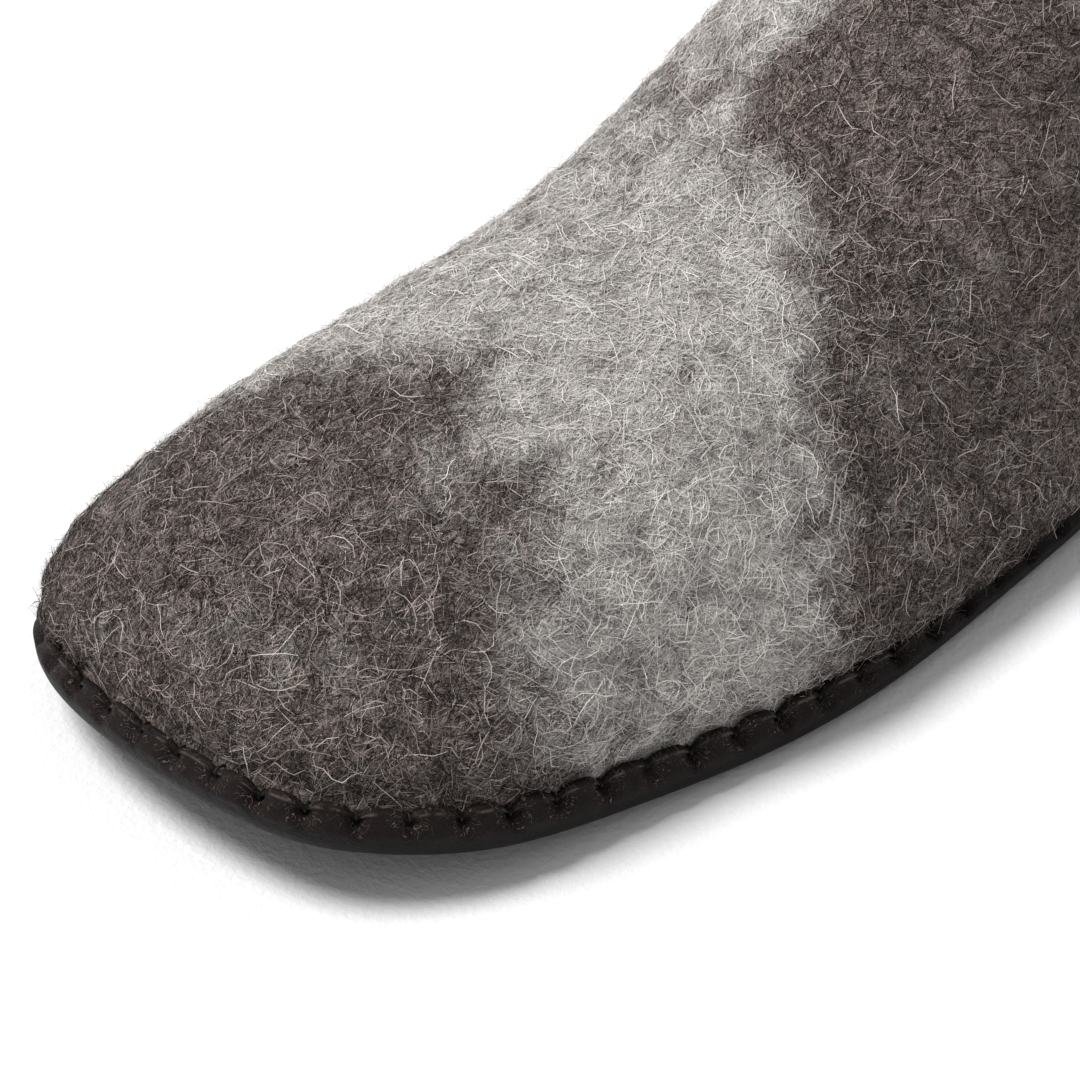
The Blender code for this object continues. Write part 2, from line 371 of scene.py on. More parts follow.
class Last:
    """The shape that the felt is pulled over. Its Y runs from 0 at the toe tip to the length at the heel.

    An angle runs round the outline: 0 at the toe tip, pi at the heel and negative on the inner side. Each
    method takes arrays.
    """

    def __init__(self, sizes):
        self.size = sizes
        turns = turn([s.station for s in SECTIONS])
        lap = 2 * math.pi
        keys = [-t for t in turns[:0:-1]] + list(turns)
        sides = [-s.medial for s in SECTIONS[:0:-1]] + [s.lateral for s in SECTIONS]
        before = [k - lap for k in keys[:-1]]
        after = [k + lap for k in keys[1:]]
        self.across = smooth_curve(before + keys + after, sides[:-1] + sides + sides[1:])
        self.crest = smooth_curve(turns, [s.crest for s in SECTIONS])
        self.fullness = smooth_curve(turns, [s.fullness for s in SECTIONS])
        self.collar_throat = smooth_curve([c.back for c in COLLAR], [c.throat for c in COLLAR])
        self.collar_heel = smooth_curve([c.back for c in COLLAR], [c.heel for c in COLLAR])
        self.throat_turn = float(turn(sizes.vamp_length / sizes.length))
        self.throat_height = sizes.instep_height * float(self.crest(self.throat_turn))
        self.rim_out = sizes.clearance + sizes.leather
        self.fold = sizes.leather + sizes.fold_round
        self.felt_foot = self.fold + sizes.clearance
        self.insole_foot = sizes.leather + sizes.clearance
        self.rim_turns = np.linspace(-math.pi, math.pi, RIM_POINTS)
        rim = self.beside(self.rim_turns, self.rim_out)
        steps = np.linalg.norm(np.diff(rim, axis=0), axis=1)
        self.rim_run = np.concatenate([[0], np.cumsum(steps)])
        self.stitches = round(self.rim_run[-1] / sizes.stitch_pitch)
        self.centre = np.array([(rim[:, 0].max() + rim[:, 0].min()) / 2, sizes.length / 2, 0])

    def feather(self, phi):
        """The felt's outline in plan, where it stands on the leather."""
        return plan(self.size.ball_width * self.across(phi), self.size.length / 2 * (1 - np.cos(phi)))

    def outward(self, phi):
        """The outline's unit normal in plan."""
        step = 0.001
        along = self.feather(phi + step) - self.feather(phi - step)
        out = plan(along[..., 1], -along[..., 0])
        return out / np.linalg.norm(out, axis=-1, keepdims=True)

    def beside(self, phi, distance):
        """The outline moved outward."""
        return self.feather(phi) + self.outward(phi) * np.asarray(distance)[..., None]

    def spine(self, y):
        """The middle of the shoe in plan, no nearer to its ends than the poles."""
        y = np.clip(y, self.size.toe_pole * self.size.length, self.size.heel_pole * self.size.length)
        phi = turn(y / self.size.length)
        return plan(self.size.ball_width * (self.across(phi) + self.across(-phi)) / 2, y)

    def tread(self, at):
        """The height of the sole's underside: the toe springs up, and the arch lifts on the inner side."""
        size = self.size
        station = at[..., 1] / size.length
        spring = size.toe_spring * np.maximum(1 - station / size.spring_start, 0) ** 2
        middle = (size.arch_front + size.arch_back) / 2
        along = eased(1 - abs(station - middle) / (size.arch_back - middle))
        inward = (self.spine(at[..., 1])[..., 0] - at[..., 0]) / (size.ball_width / 2)
        return spring + size.arch_rise * along * eased(inward + ARCH_PAST_MIDDLE)

    def dome(self, at):
        """The height of the felt's outside over its lower edge."""
        phi = turn(at[..., 1] / self.size.length)
        outer = self.size.ball_width * self.across(phi)
        inner = self.size.ball_width * self.across(-phi)
        half = np.maximum((outer - inner) / 2, 1e-9)
        side = np.minimum(abs(at[..., 0] - (outer + inner) / 2) / half, 1)
        fullness = self.fullness(phi)
        return self.size.instep_height * self.crest(phi) * (1 - side ** fullness) ** (1 / fullness)

    def share_at(self, edge, end, height):
        """How far from an edge point towards an end point the felt reaches a height."""
        low = np.zeros(edge.shape[:-1])
        high = np.ones(edge.shape[:-1])
        for _ in range(HALVINGS):
            middle = (low + high) / 2
            under = self.dome(blend(edge, end, middle)) < height
            low = np.where(under, middle, low)
            high = np.where(under, high, middle)
        return high

    def felt_point(self, phi, end, part):
        """A point of the felt's outside. Above the rim the felt swells out, and eases back further up."""
        at = blend(self.feather(phi), end, part)
        height = self.dome(at)
        over = (height + self.felt_foot - self.size.rim_height) / self.size.rim_height
        swell = np.where(over > 0, eased(over) * (1 - eased(over - SWELL_EASES_BACK)), 0)
        out = at + self.outward(phi) * (self.size.felt_swell * swell)[..., None]
        return self.placed(out, self.tread(at) + self.felt_foot + height)

    def collar_height(self, y):
        """The height of the cut edge over the felt's lower edge, behind the throat."""
        size = self.size
        back = (y - size.vamp_length) / (size.length - size.vamp_length)
        throat = self.collar_throat(back) * (self.throat_height - size.side_height)
        return size.side_height + throat + self.collar_heel(back) * (size.heel_height - size.side_height)

    def placed(self, at, height):
        """Points in the row frame."""
        return np.concatenate([at, np.asarray(height)[..., None]], -1) - self.centre

    def on_tread(self, at, rise):
        return self.placed(at, self.tread(at) + rise)

    def rim_angles(self, count):
        """An even number of angles, the same on both sides and about evenly spaced along the rim."""
        middle = len(self.rim_turns) // 2
        outer = self.rim_run[middle:] - self.rim_run[middle]
        inner = self.rim_run[middle] - self.rim_run[middle::-1]
        run = (outer + inner) / 2
        half = np.interp(np.linspace(0, run[-1], count // 2 + 1), run, self.rim_turns[middle:])
        return np.concatenate([-half[:0:-1], half[:-1]])

    def overhang(self, phi):
        """Where the felt swells over the rim: round the inner toe and behind the ball, not at the heel."""
        y = self.feather(phi)[..., 1]
        outer = eased((y - OUTER_START) / OUTER_LENGTH)
        inner = eased((y - INNER_START) / INNER_LENGTH)
        heel = eased((y / self.size.length - HEEL_START) / (1 - HEEL_START))
        return np.where(phi < 0, INNER_SHARE * inner, outer) * (1 - heel)

    def stitch_count(self, phi):
        """How many stitches an angle lies from the heel, as a number with a fraction."""
        run = np.interp(phi, self.rim_turns, self.rim_run)
        return run / self.rim_run[-1] * self.stitches + STITCH_SHIFT

    def stitch_pull(self, phi, width):
        """How strongly the stitches pull at an angle, 1 at a usual stitch and 0 between."""
        count = self.stitch_count(phi)
        nearest = np.round(count)
        away = (count - nearest) * self.size.stitch_pitch
        return self.strength(nearest) * np.exp(-(away / width) ** 2)

    def strength(self, stitch):
        """No two stitches are drawn equally tight."""
        return 1 + 0.4 * np.sin(stitch % self.stitches * 2.4) * np.cos(stitch % self.stitches * 1.1)


def the_last():
    return Last(bpy.context.scene.slipper_sizes)


def strips(rows):
    """Faces between neighbouring rows of point numbers that run round. Points that meet are one corner."""
    after = np.roll(rows, -1, axis=1)
    quads = np.stack([rows[:-1], after[:-1], after[1:], rows[1:]], -1).reshape(-1, 4)
    faces = (tuple(dict.fromkeys(quad)) for quad in quads.tolist())
    return [face for face in faces if len(face) > 2]


def closed_rows(rows):
    """The points of rows that run round, and the faces between them. Points in one place are one corner."""
    grid = np.array(rows)
    points = grid.reshape(-1, 3)
    _, first, place = np.unique(np.round(points, 7), axis=0, return_index=True, return_inverse=True)
    return points, strips(first[place.reshape(-1)].reshape(grid.shape[:2]))


def drop_loose(mesh):
    """Remove the points that no face uses."""
    surface = bmesh.new()
    surface.from_mesh(mesh)
    bmesh.ops.delete(surface, geom=[v for v in surface.verts if not v.link_faces], context="VERTS")
    surface.to_mesh(mesh)
    surface.free()


def smooth_mesh(name, points, faces):
    mesh = bpy.data.meshes.new(name)
    mesh.from_pydata(points.tolist(), [], faces)
    mesh.shade_smooth()
    return mesh


def shown(name, mesh):
    """An object for a mesh, linked to the scene."""
    piece = bpy.data.objects.new(name, mesh)
    bpy.context.scene.collection.objects.link(piece)
    return piece


def normals_of(mesh):
    normals = np.empty(len(mesh.vertices) * 3, np.float32)
    mesh.vertices.foreach_get("normal", normals)
    return normals.reshape(-1, 3).astype(float)


def store(mesh, name, values):
    """A number for each point of a mesh, for its material and its fibres."""
    mesh.attributes.new(name, "FLOAT", "POINT").data.foreach_set("value", np.asarray(values, np.float32))


def unevenness(points, size, seed):
    """Smooth noise between -1 and 1 with lumps of a size."""
    shift = Vector((seed * 3.7, seed * 1.3, seed * 2.1))
    return np.array([noise.noise(Vector(p) / size + shift) for p in points])


def row_place(last, along, across, up):
    """A place given in shares of the felt's length, the ball's width and the instep's height."""
    size = last.size
    return np.array([across * size.ball_width, along * size.length, up * size.instep_height]) - last.centre


def turned(x, y, degrees):
    """Offsets along and across an axis that is turned in plan."""
    angle = math.radians(degrees)
    return x * math.cos(angle) + y * math.sin(angle), y * math.cos(angle) - x * math.sin(angle)


def creases(last, points):
    """The height of the soft troughs and swells."""
    height = np.zeros(len(points))
    for crease in CREASES:
        away = points - row_place(last, crease.along, crease.across, crease.up)
        along, across = turned(away[:, 0], away[:, 1], crease.turn)
        reach = (along / crease.long * 2) ** 2 + (across / crease.wide * 2) ** 2
        height += crease.depth * np.exp(-reach - (away[:, 2] / crease.long) ** 2)
    return height


def depth_inside(border, at):
    """How far points in plan lie inside a closed border, less than 0 outside it."""
    start = np.array(border, float)
    side = np.roll(start, -1, axis=0) - start
    away = at[:, None, :] - start
    part = np.clip((away * side).sum(2) / (side ** 2).sum(1), 0, 1)
    distance = np.linalg.norm(away - side * part[..., None], axis=2).min(1)
    end = start + side
    crosses = (start[:, 1] > at[:, None, 1]) != (end[:, 1] > at[:, None, 1])
    rise = np.where(side[:, 1] == 0, 1, side[:, 1])
    left = at[:, None, 0] < start[:, 0] + side[:, 0] * (at[:, None, 1] - start[:, 1]) / rise
    inside = (crosses & left).sum(1) % 2 == 1
    return np.where(inside, distance, -distance)


def patches(points, looks):
    """How light the wool is, from 0 to 1. Felting has drawn the borders out, and painted shade darkens the
    hollows between the lumps.
    """
    at = points[:, :2] * 1000
    for size, reach, seed in WANDERS:
        at[:, 0] += reach * unevenness(points, size, seed)
        at[:, 1] += reach * unevenness(points, size, seed + 1)
    at[:, 1] += PATCH_LEAN * points[:, 2] * 1000 * eased((at[:, 1] - QUARTERS_START) / QUARTERS_FADE)
    depth = np.max([depth_inside(border, at) for border in LIGHT_PATCHES], axis=0)
    behind = eased((at[:, 1] - QUARTERS_START) / QUARTERS_FADE)
    toe = eased((TOE_START - at[:, 1]) / TOE_FADE)
    soft = BORDER + TOE_BORDER * toe + QUARTERS_BORDER * behind
    light = (PATCH_LIGHT - QUARTERS_DULLER * behind) * eased(depth / soft + 0.5)
    for haze in HAZES:
        along, across = turned(at[:, 0] - haze.x, at[:, 1] - haze.y, haze.turn)
        light += haze.lighter * np.exp(-(along / haze.long) ** 2 - (across / haze.wide) ** 2)
    light += CLOUD_TONE * unevenness(points, CLOUD_SIZE, 11)
    # Painted shade: the same noise as the felt's lumps makes their hollows darker and their tops lighter
    lump_painted_shade = LUMP_PAINTED_SHADE + LIGHT_WOOL_PAINTED_SHADE * np.clip(light, 0, 1)
    light += lump_painted_shade * unevenness(points, looks.lump_size, 1)
    light += FLECK_TONE * unevenness(points, FLECK_SIZE, 12)
    return np.clip(light, 0, 1)


class Value:
    """A socket that Python's operators work on. Each one adds a Math node."""

    def __init__(self, nodes, socket):
        self.nodes = nodes
        self.socket = socket

    def __add__(self, other):
        return self.nodes.math("ADD", self, other)

    __radd__ = __add__

    def __sub__(self, other):
        return self.nodes.math("SUBTRACT", self, other)

    def __rsub__(self, other):
        return self.nodes.math("SUBTRACT", other, self)

    def __mul__(self, other):
        return self.nodes.math("MULTIPLY", self, other)

    __rmul__ = __mul__

    def __truediv__(self, other):
        return self.nodes.math("DIVIDE", self, other)

    def __pow__(self, other):
        return self.nodes.math("POWER", self, other)


class Nodes:
    """A node tree in the making."""

    def __init__(self, tree):
        self.tree = tree

    def node(self, kind, settings=(), inputs=()):
        """A node of a type, with its settings and then the values or links of its sockets."""
        made = self.tree.nodes.new(kind)
        for name, value in dict(settings).items():
            setattr(made, name, value)
        for name, value in dict(inputs).items():
            self.feed(made.inputs[name], value)
        return made

    def feed(self, socket, value):
        if isinstance(value, Value):
            value = value.socket
        if isinstance(value, bpy.types.NodeSocket):
            self.tree.links.new(value, socket)
        else:
            socket.default_value = value

    def value(self, kind, settings=(), inputs=(), output=0):
        return Value(self, self.node(kind, settings, inputs).outputs[output])

    def math(self, operation, *values):
        return self.value("ShaderNodeMath", {"operation": operation}, enumerate(values))

    def vector(self, operation, *values):
        return self.value("ShaderNodeVectorMath", {"operation": operation}, enumerate(values))

    def scaled(self, vector, factor):
        return self.value("ShaderNodeVectorMath", {"operation": "SCALE"},
                          {"Vector": vector, "Scale": factor})

    def xyz(self, *parts):
        """A vector from its numbers. Those left out are 0."""
        return self.value("ShaderNodeCombineXYZ", {}, enumerate(parts))

    def split(self, vector):
        """The numbers of a vector."""
        apart = self.node("ShaderNodeSeparateXYZ", {}, {0: vector})
        return [Value(self, socket) for socket in apart.outputs]

    def named(self, name, kind="FLOAT"):
        """In Geometry Nodes, an attribute of the mesh."""
        return self.value("GeometryNodeInputNamedAttribute", {"data_type": kind}, {"Name": name})

    def facing(self, up, along):
        """In Geometry Nodes, the rotation that turns Z to one direction and X towards another."""
        return self.value("FunctionNodeAxesToRotation", {"primary_axis": "Z", "secondary_axis": "X"},
                          {0: up, 1: along})

    def chance(self, low, high, seed=0):
        """In Geometry Nodes, a random number for each point."""
        return self.value("FunctionNodeRandomValue", {"data_type": "FLOAT"},
                          {2: low, 3: high, "Seed": seed}, 1)

    def drift(self, place, scale, detail=1.0):
        """A smooth noise with three parts, each between 0 and 1."""
        return self.value("ShaderNodeTexNoise", {}, {"Vector": place, "Scale": scale, "Detail": detail}, 1)

    def ramp(self, value, low, high, start=0.0, end=1.0):
        """A soft step from start to end as the value goes from low to high, or down to it."""
        return self.value("ShaderNodeMapRange", {"interpolation_type": "SMOOTHSTEP"},
                          {0: value, 1: low, 2: high, 3: start, 4: end})

    def mix(self, part, first, second):
        """A colour between two."""
        return self.value("ShaderNodeMix", {"data_type": "RGBA"},
                          {0: part, 6: opaque(first), 7: opaque(second)}, 2)


def opaque(tint):
    """A colour with its alpha. A socket is left as it is."""
    return tint if isinstance(tint, (Value, bpy.types.NodeSocket)) else (*tint, 1)


# Where in the noise the felt's lines start and are full
LINE_EDGES = (0.46, 0.66)


class Finish(Nodes):
    """A material in the making, on a Principled shader."""

    def __init__(self, name, **numbers):
        self.material = bpy.data.materials.new(name)
        self.material.use_nodes = True
        super().__init__(self.material.node_tree)
        self.shader = self.tree.nodes["Principled BSDF"]
        self.place = self.value("ShaderNodeTexCoord", output="Object")
        for socket, number in numbers.items():
            self.shader.inputs[socket.replace("_", " ")].default_value = number

    def attribute(self, name):
        return self.value("ShaderNodeAttribute", {"attribute_name": name}, output="Fac")

    def grain(self, size, detail=2.0, rough=0.5, vector=None, distortion=0.0):
        """Noise between 0 and 1 with features of a size in metres."""
        return self.value("ShaderNodeTexNoise", {}, {"Vector": vector or self.place, "Scale": 1 / size,
                          "Detail": detail, "Roughness": rough, "Distortion": distortion})

    def strands(self, aim, width, length, bent):
        """Short fine lines along a direction, 1 on a line and 0 beside it: noise that is drawn out."""
        drawn = self.value("ShaderNodeMapping", {"vector_type": "TEXTURE"},
                           {"Vector": bent, "Rotation": aim, "Scale": (width, length, width)})
        level = self.value("ShaderNodeTexNoise", {}, {"Vector": drawn, "Scale": 1.0, "Detail": 1.0})
        return self.ramp(level, *LINE_EDGES)

    def bump(self, height, depth, normal=None):
        inputs = {"Height": height, "Distance": depth, "Strength": 1.0}
        if normal:
            inputs["Normal"] = normal
        return self.value("ShaderNodeBump", {}, inputs)

    def wear(self, **links):
        for socket, value in links.items():
            self.feed(self.shader.inputs[socket.replace("_", " ")], value)


# Directions of the lines in the felt, as turns about X, Y and Z in degrees, and how far apart in the noise
# the lines of two directions lie. Each direction is a bit fainter than the one before.
NAP_AIMS = [(0, 0, 6), (0, 0, -38), (0, 0, 44), (52, 0, 20), (90, 20, 0), (0, 0, 92)]
NAP_SHIFT = Vector((0.013, 0.007, 0.011))
NAP_FAINTER = 0.08
LINE_WIDTH = 0.00020
LINE_LENGTH = 0.0018
LINE_BEND = 0.0022
LINE_BEND_SIZE = 0.004
BLOTCH_SIZE = 0.0036
BORDER_GRAIN = 0.0014
NAP_RELIEF = 0.00035

# Where between dark and light wool the tone starts and ends to change
WOOL_EDGES = (0.05, 0.95)

# How the bright fibres are spread: most dark fibres are dull, near the painted shade colour, and most light
# ones bright
DARK_FIBRES = 5.0
LIGHT_FIBRES = 0.7
PALE_STRAYS = (0.95, 1.06)


def felt_finish(name):
    """Wool felt: fine short lines that cross one another, in two tones, under the loose fibres."""
    looks = bpy.context.scene.slipper_wool
    felt = Finish(name, Roughness=0.95, Specular_IOR_Level=0.08)
    drift = felt.drift(felt.place, 1 / LINE_BEND_SIZE)
    bent = felt.vector("ADD", felt.place, felt.scaled(drift, LINE_BEND))
    hair = 0.0
    for number, turns in enumerate(NAP_AIMS):
        aim = tuple(math.radians(part) for part in turns)
        moved = felt.vector("ADD", bent, NAP_SHIFT * number)
        lines = felt.strands(aim, LINE_WIDTH, LINE_LENGTH, moved)
        hair = felt.math("MAXIMUM", hair, lines * (1 - NAP_FAINTER * number))
    blotch = felt.grain(BLOTCH_SIZE, 3.0, 0.6)
    tone = felt.math("MINIMUM", hair * 0.62 + (blotch - 0.32) * 0.5, 1.0)
    ragged = felt.attribute("light") + (felt.grain(BORDER_GRAIN, 2.0, 0.6) - 0.5) * 0.7
    # Between the lines the wool takes its patch's painted shade colour, and on them its fibres' own colour
    dark = felt.mix(tone * tone, looks.dark_patch_shade, looks.dark_tip)
    pale = felt.mix(tone, looks.pale_patch_shade, looks.light_tip)
    felt.wear(Base_Color=felt.mix(felt.ramp(ragged, *WOOL_EDGES), dark, pale))
    felt.wear(Normal=felt.bump(hair * 0.5 + blotch * 0.8, NAP_RELIEF))
    return felt.material


def fibre_finish():
    """Single fibres: across its map a fibre runs from dark to light wool, and up it from the painted shade
    colour to bright.
    """
    looks = bpy.context.scene.slipper_wool
    wool = Finish("wool_fibre", Roughness=0.7, Specular_IOR_Level=0.12)
    light, tint, _ = wool.split(wool.value("ShaderNodeUVMap", {"uv_map": "OFBake"}))
    dark = wool.mix(tint ** DARK_FIBRES, looks.dark_patch_shade, looks.dark_tip)
    pale = wool.mix(tint ** LIGHT_FIBRES, looks.pale_patch_shade, looks.light_tip)
    bright = wool.mix(wool.ramp(tint, *PALE_STRAYS), dark, looks.light_tip)
    wool.wear(Base_Color=wool.mix(wool.ramp(light, *WOOL_EDGES), bright, pale))
    return wool.material


# The felt's points: columns from the toe tip to the throat and from there to the heel on each side, rows up
# the outside and the inside, and rings round the cut edge. The columns crowd together towards the throat.
# A column is measured in more rows than it gets.
COLUMNS_VAMP = 150
COLUMNS_QUARTER = 105
COLUMN_CROWDING = 1.5
OUTSIDE_ROWS = 88
MEASURED_ROWS = 240
INSIDE_ROWS = 26
EDGE_RINGS = 6

# Over this length behind the throat the outside comes down to where the cut edge's rounding starts
THROAT_ROUND = 0.003


def column_angles(last):
    """Angles round the outline, the same on both sides, closer together just behind the throat."""
    vamp = last.throat_turn * np.arange(COLUMNS_VAMP + 1) / COLUMNS_VAMP
    back = (np.arange(1, COLUMNS_QUARTER + 1) / COLUMNS_QUARTER) ** COLUMN_CROWDING
    half = np.concatenate([vamp, last.throat_turn + (math.pi - last.throat_turn) * back])
    return np.concatenate([-half[1:-1][::-1], half])


def felt_grid(last):
    """The felt's outside in rows from its foot to the ridge or the collar, evenly up each column."""
    phi = column_angles(last)
    foot = last.feather(phi)
    end = last.spine(foot[:, 1])
    behind = eased((foot[:, 1] - last.size.vamp_length) / THROAT_ROUND)
    lip = last.collar_height(foot[:, 1]) - last.size.felt_wall / 2 * behind
    vamp = abs(phi) <= last.throat_turn + 1e-9
    top = np.where(vamp, 1, last.share_at(foot, end, lip))
    angle = np.linspace(np.zeros(len(top)), np.arccos(1 - top), MEASURED_ROWS)
    fine = last.felt_point(phi, end, 1 - np.cos(angle))
    steps = np.linalg.norm(np.diff(fine, axis=0), axis=2)
    run = np.concatenate([np.zeros((1, len(top))), np.cumsum(steps, axis=0)])
    rows = np.linspace(0, 1, OUTSIDE_ROWS)
    even = np.stack([np.interp(rows * run[-1, i], run[:, i], angle[:, i]) for i in range(len(top))], 1)
    return last.felt_point(phi, end, 1 - np.cos(even))


Shell = namedtuple("Shell", "points facing faces angle is_out depth")


def felt_shell(last):
    """The felt's wall: an outside, an inside one wall away from it, and a rounded cut edge between them.

    With each point go its outward direction, its angle round the outline, whether it is on the outside or
    the cut edge, and how many rows down the inside it lies.
    """
    grid = felt_grid(last)
    rows, columns = grid.shape[:2]
    phi = column_angles(last)
    toe = COLUMNS_VAMP + COLUMNS_QUARTER - 1
    pole = int(np.searchsorted(last.feather(phi[toe:])[:, 1], last.size.toe_pole * last.size.length))

    def close_ridge(row):
        """Both sides of the vamp share the points of its ridge."""
        for i in range(COLUMNS_VAMP + 1):
            row[[toe - i, toe + i]] = row[toe + max(i, pole)]

    outside = np.arange(rows * columns).reshape(rows, columns)
    close_ridge(outside[-1])
    points = grid.reshape(-1, 3)
    skin = smooth_mesh("felt_skin", points, strips(outside))
    normals = normals_of(skin)
    bpy.data.meshes.remove(skin)
    wall = last.size.felt_wall

    loop = np.roll(np.arange(columns), -(toe + COLUMNS_VAMP))[:columns - 2 * COLUMNS_VAMP]
    lip = points[outside[-1, loop]]
    out = normals[outside[-1, loop]]
    up = np.cross(out, np.roll(lip, -1, axis=0) - np.roll(lip, 1, axis=0))
    up /= np.linalg.norm(up, axis=1, keepdims=True)
    angles = np.pi * np.arange(1, EDGE_RINGS + 1)[:, None, None] / (EDGE_RINGS + 1)
    rings = lip - out * wall / 2 + np.cos(angles) * out * wall / 2 + np.sin(angles) * up * wall / 2
    ring_out = np.cos(angles) * out + np.sin(angles) * up
    picked = outside[np.linspace(rows - 1, 0, INSIDE_ROWS).round().astype(int)]
    inner = points[picked] - normals[picked] * wall

    edge = len(points) + np.arange(EDGE_RINGS * len(loop)).reshape(EDGE_RINGS, -1)
    first_inner = len(points) + edge.size
    inside = first_inner + np.arange(INSIDE_ROWS * columns).reshape(INSIDE_ROWS, columns)
    close_ridge(inside[0])
    faces = strips(outside) + strips(inside) + strips(np.stack([inside[-1], outside[0]]))
    faces += strips(np.concatenate([outside[-1:, loop], edge, inside[:1, loop]]))
    everything = np.concatenate([points, rings.reshape(-1, 3), inner.reshape(-1, 3)])
    facing = np.concatenate([normals, ring_out.reshape(-1, 3), -normals[picked].reshape(-1, 3)])
    angle = np.concatenate([np.tile(phi, rows), np.zeros(edge.size), np.tile(phi, INSIDE_ROWS)])
    depth = np.concatenate([np.zeros(first_inner), np.repeat(np.arange(INSIDE_ROWS), columns)])
    return Shell(everything, facing, faces, angle, np.arange(len(everything)) < first_inner, depth)


# The felt's swell over the rim starts this far under the lip and is full after this height
SWELL_UNDER = 0.0010
SWELL_RISE = 0.0024

# The reach of a stitch's pull along the rim, in the felt and in the leather, and down and up the felt
FELT_PULL = 0.0018
LEATHER_PULL = 0.0012
PULL_UNDER = 0.001
PULL_HEIGHT = 0.003

# The lumps fade out over this height at the rim. Lumps smaller by this factor and half as high lie on them.
LUMPS_FADE = 0.003
FINER_LUMPS = 2.2

# The fibres start over this height at the lip and stand thicker near it, up to the next height. They thin
# out over these rows of the inside.
HAIR_START = 0.0012
RIM_HAIR = 0.7
RIM_HAIR_HEIGHT = 0.004
INSIDE_HAIR = 0.5
INSIDE_HAIR_ROWS = 2.0


class SLIPPER_OT_felt_upper(bpy.types.Operator):
    """Makes the felt upper: one thick shell with a cut collar, lumps, soft creases and patches"""

    bl_idname = "slipper.felt_upper"
    bl_label = "Felt Upper"

    def execute(self, context):
        last = the_last()
        looks = context.scene.slipper_wool
        points, facing, faces, angle, is_out, depth = felt_shell(last)
        over = points[:, 2] - last.tread(points[:, :2] + last.centre[:2]) - last.size.rim_height
        free = np.where(is_out, eased(over / LUMPS_FADE + 0.5), 0.5)
        behind = last.overhang(angle)
        over += context.scene.slipper_leather.side_drop * behind
        reach = np.where(angle < 0, INNER_REACH, OUTER_REACH)
        swell = behind * eased((over + SWELL_UNDER) / SWELL_RISE) * (1 - eased(over / reach - 0.25))
        gathered = last.stitch_pull(angle, FELT_PULL) * eased(over / PULL_UNDER + 1)
        gathered *= np.exp(-(over / PULL_HEIGHT) ** 2)
        flat = plan(facing[:, 0], facing[:, 1])
        flat /= np.maximum(np.linalg.norm(flat, axis=1, keepdims=True), 0.3)
        moved = np.where(is_out, looks.overhang * swell - looks.gather * gathered, 0)
        points[:, :2] += flat * moved[:, None]
        raised = unevenness(points, looks.lump_size, 1) * looks.lump_height
        raised += unevenness(points, looks.lump_size / FINER_LUMPS, 2) * looks.lump_height * 0.5
        raised += unevenness(points, looks.swell_size, 3) * looks.swell_height
        raised += np.where(is_out, creases(last, points), 0)
        points += facing * (raised * free)[:, None]

        mesh = smooth_mesh("felt_upper", points, faces)
        store(mesh, "light", patches(points, looks))
        near_rim = 1 + RIM_HAIR * np.exp(-(over / RIM_HAIR_HEIGHT) ** 2)
        store(mesh, "hair", np.where(is_out, eased(over / HAIR_START + 0.8) * near_rim,
                                     INSIDE_HAIR * np.exp(-depth / INSIDE_HAIR_ROWS)))
        drop_loose(mesh)
        piece = shown("felt_upper", mesh)
        mesh.materials.append(felt_finish("mottled_felt"))
        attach(piece, "root")
        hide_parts("upper")
        return {"FINISHED"}


def strand_shapes(layer, seed):
    """Small bent ribbons of unit length, one object for each, in a collection that the fibres pick from."""
    random = np.random.default_rng(seed)
    shapes = bpy.data.collections.new(layer.name)
    parts = np.linspace(0, 1, layer.steps + 1)
    for number in range(STRAND_SHAPES):
        bend = random.uniform(-layer.bend, layer.bend)
        wave = random.uniform(-0.5, 0.5) * layer.bend
        heading = bend * (parts - 0.5) + wave * np.sin(2 * np.pi * parts + random.uniform(0, 6))
        run = np.stack([np.cos(heading), np.sin(heading)], 1)
        flat = np.concatenate([np.zeros((1, 2)), np.cumsum((run[1:] + run[:-1]) / 2, axis=0) / layer.steps])
        flat -= flat.mean(axis=0)
        lift = layer.lift / layer.length * random.uniform(0.35, 1.0)
        if layer.free:
            up = lift * parts ** random.uniform(0.8, 1.8)
        elif layer.steps == 1:
            up = lift * np.array([random.uniform(0, 1), random.uniform(0, 1)])
        else:
            up = lift * np.sin(np.pi * (parts * 0.86 + random.uniform(0, 0.14)))
        roll = random.uniform(-0.7, 0.7)
        side = np.stack([-run[:, 1] * math.cos(roll), run[:, 0] * math.cos(roll),
                         np.full(len(parts), math.sin(roll))], 1)
        belly = 0.45 + 0.55 * np.sin(np.pi * (0.08 + 0.84 * parts))
        half = layer.width / layer.length / 2 * belly
        middle = np.column_stack([flat, up])
        ribbon = np.concatenate([middle - side * half[:, None], middle + side * half[:, None]])
        count = len(parts)
        faces = [(i, i + 1, count + i + 1, count + i) for i in range(count - 1)]
        mesh = smooth_mesh("strand", ribbon, faces)
        store(mesh, "along", np.tile(parts, 2))
        store(mesh, "side", np.repeat([0, 1], count))
        shapes.objects.link(bpy.data.objects.new(f"{layer.name}_{number:02}", mesh))
    return shapes


def new_tree(name, inputs):
    """A geometry node tree with inputs, given as a kind of socket for each name."""
    tree = bpy.data.node_groups.new(name, "GeometryNodeTree")
    tree.interface.new_socket("Geometry", in_out="OUTPUT", socket_type="NodeSocketGeometry")
    for title, kind in inputs.items():
        tree.interface.new_socket(title, in_out="INPUT", socket_type="NodeSocket" + kind)
    return tree


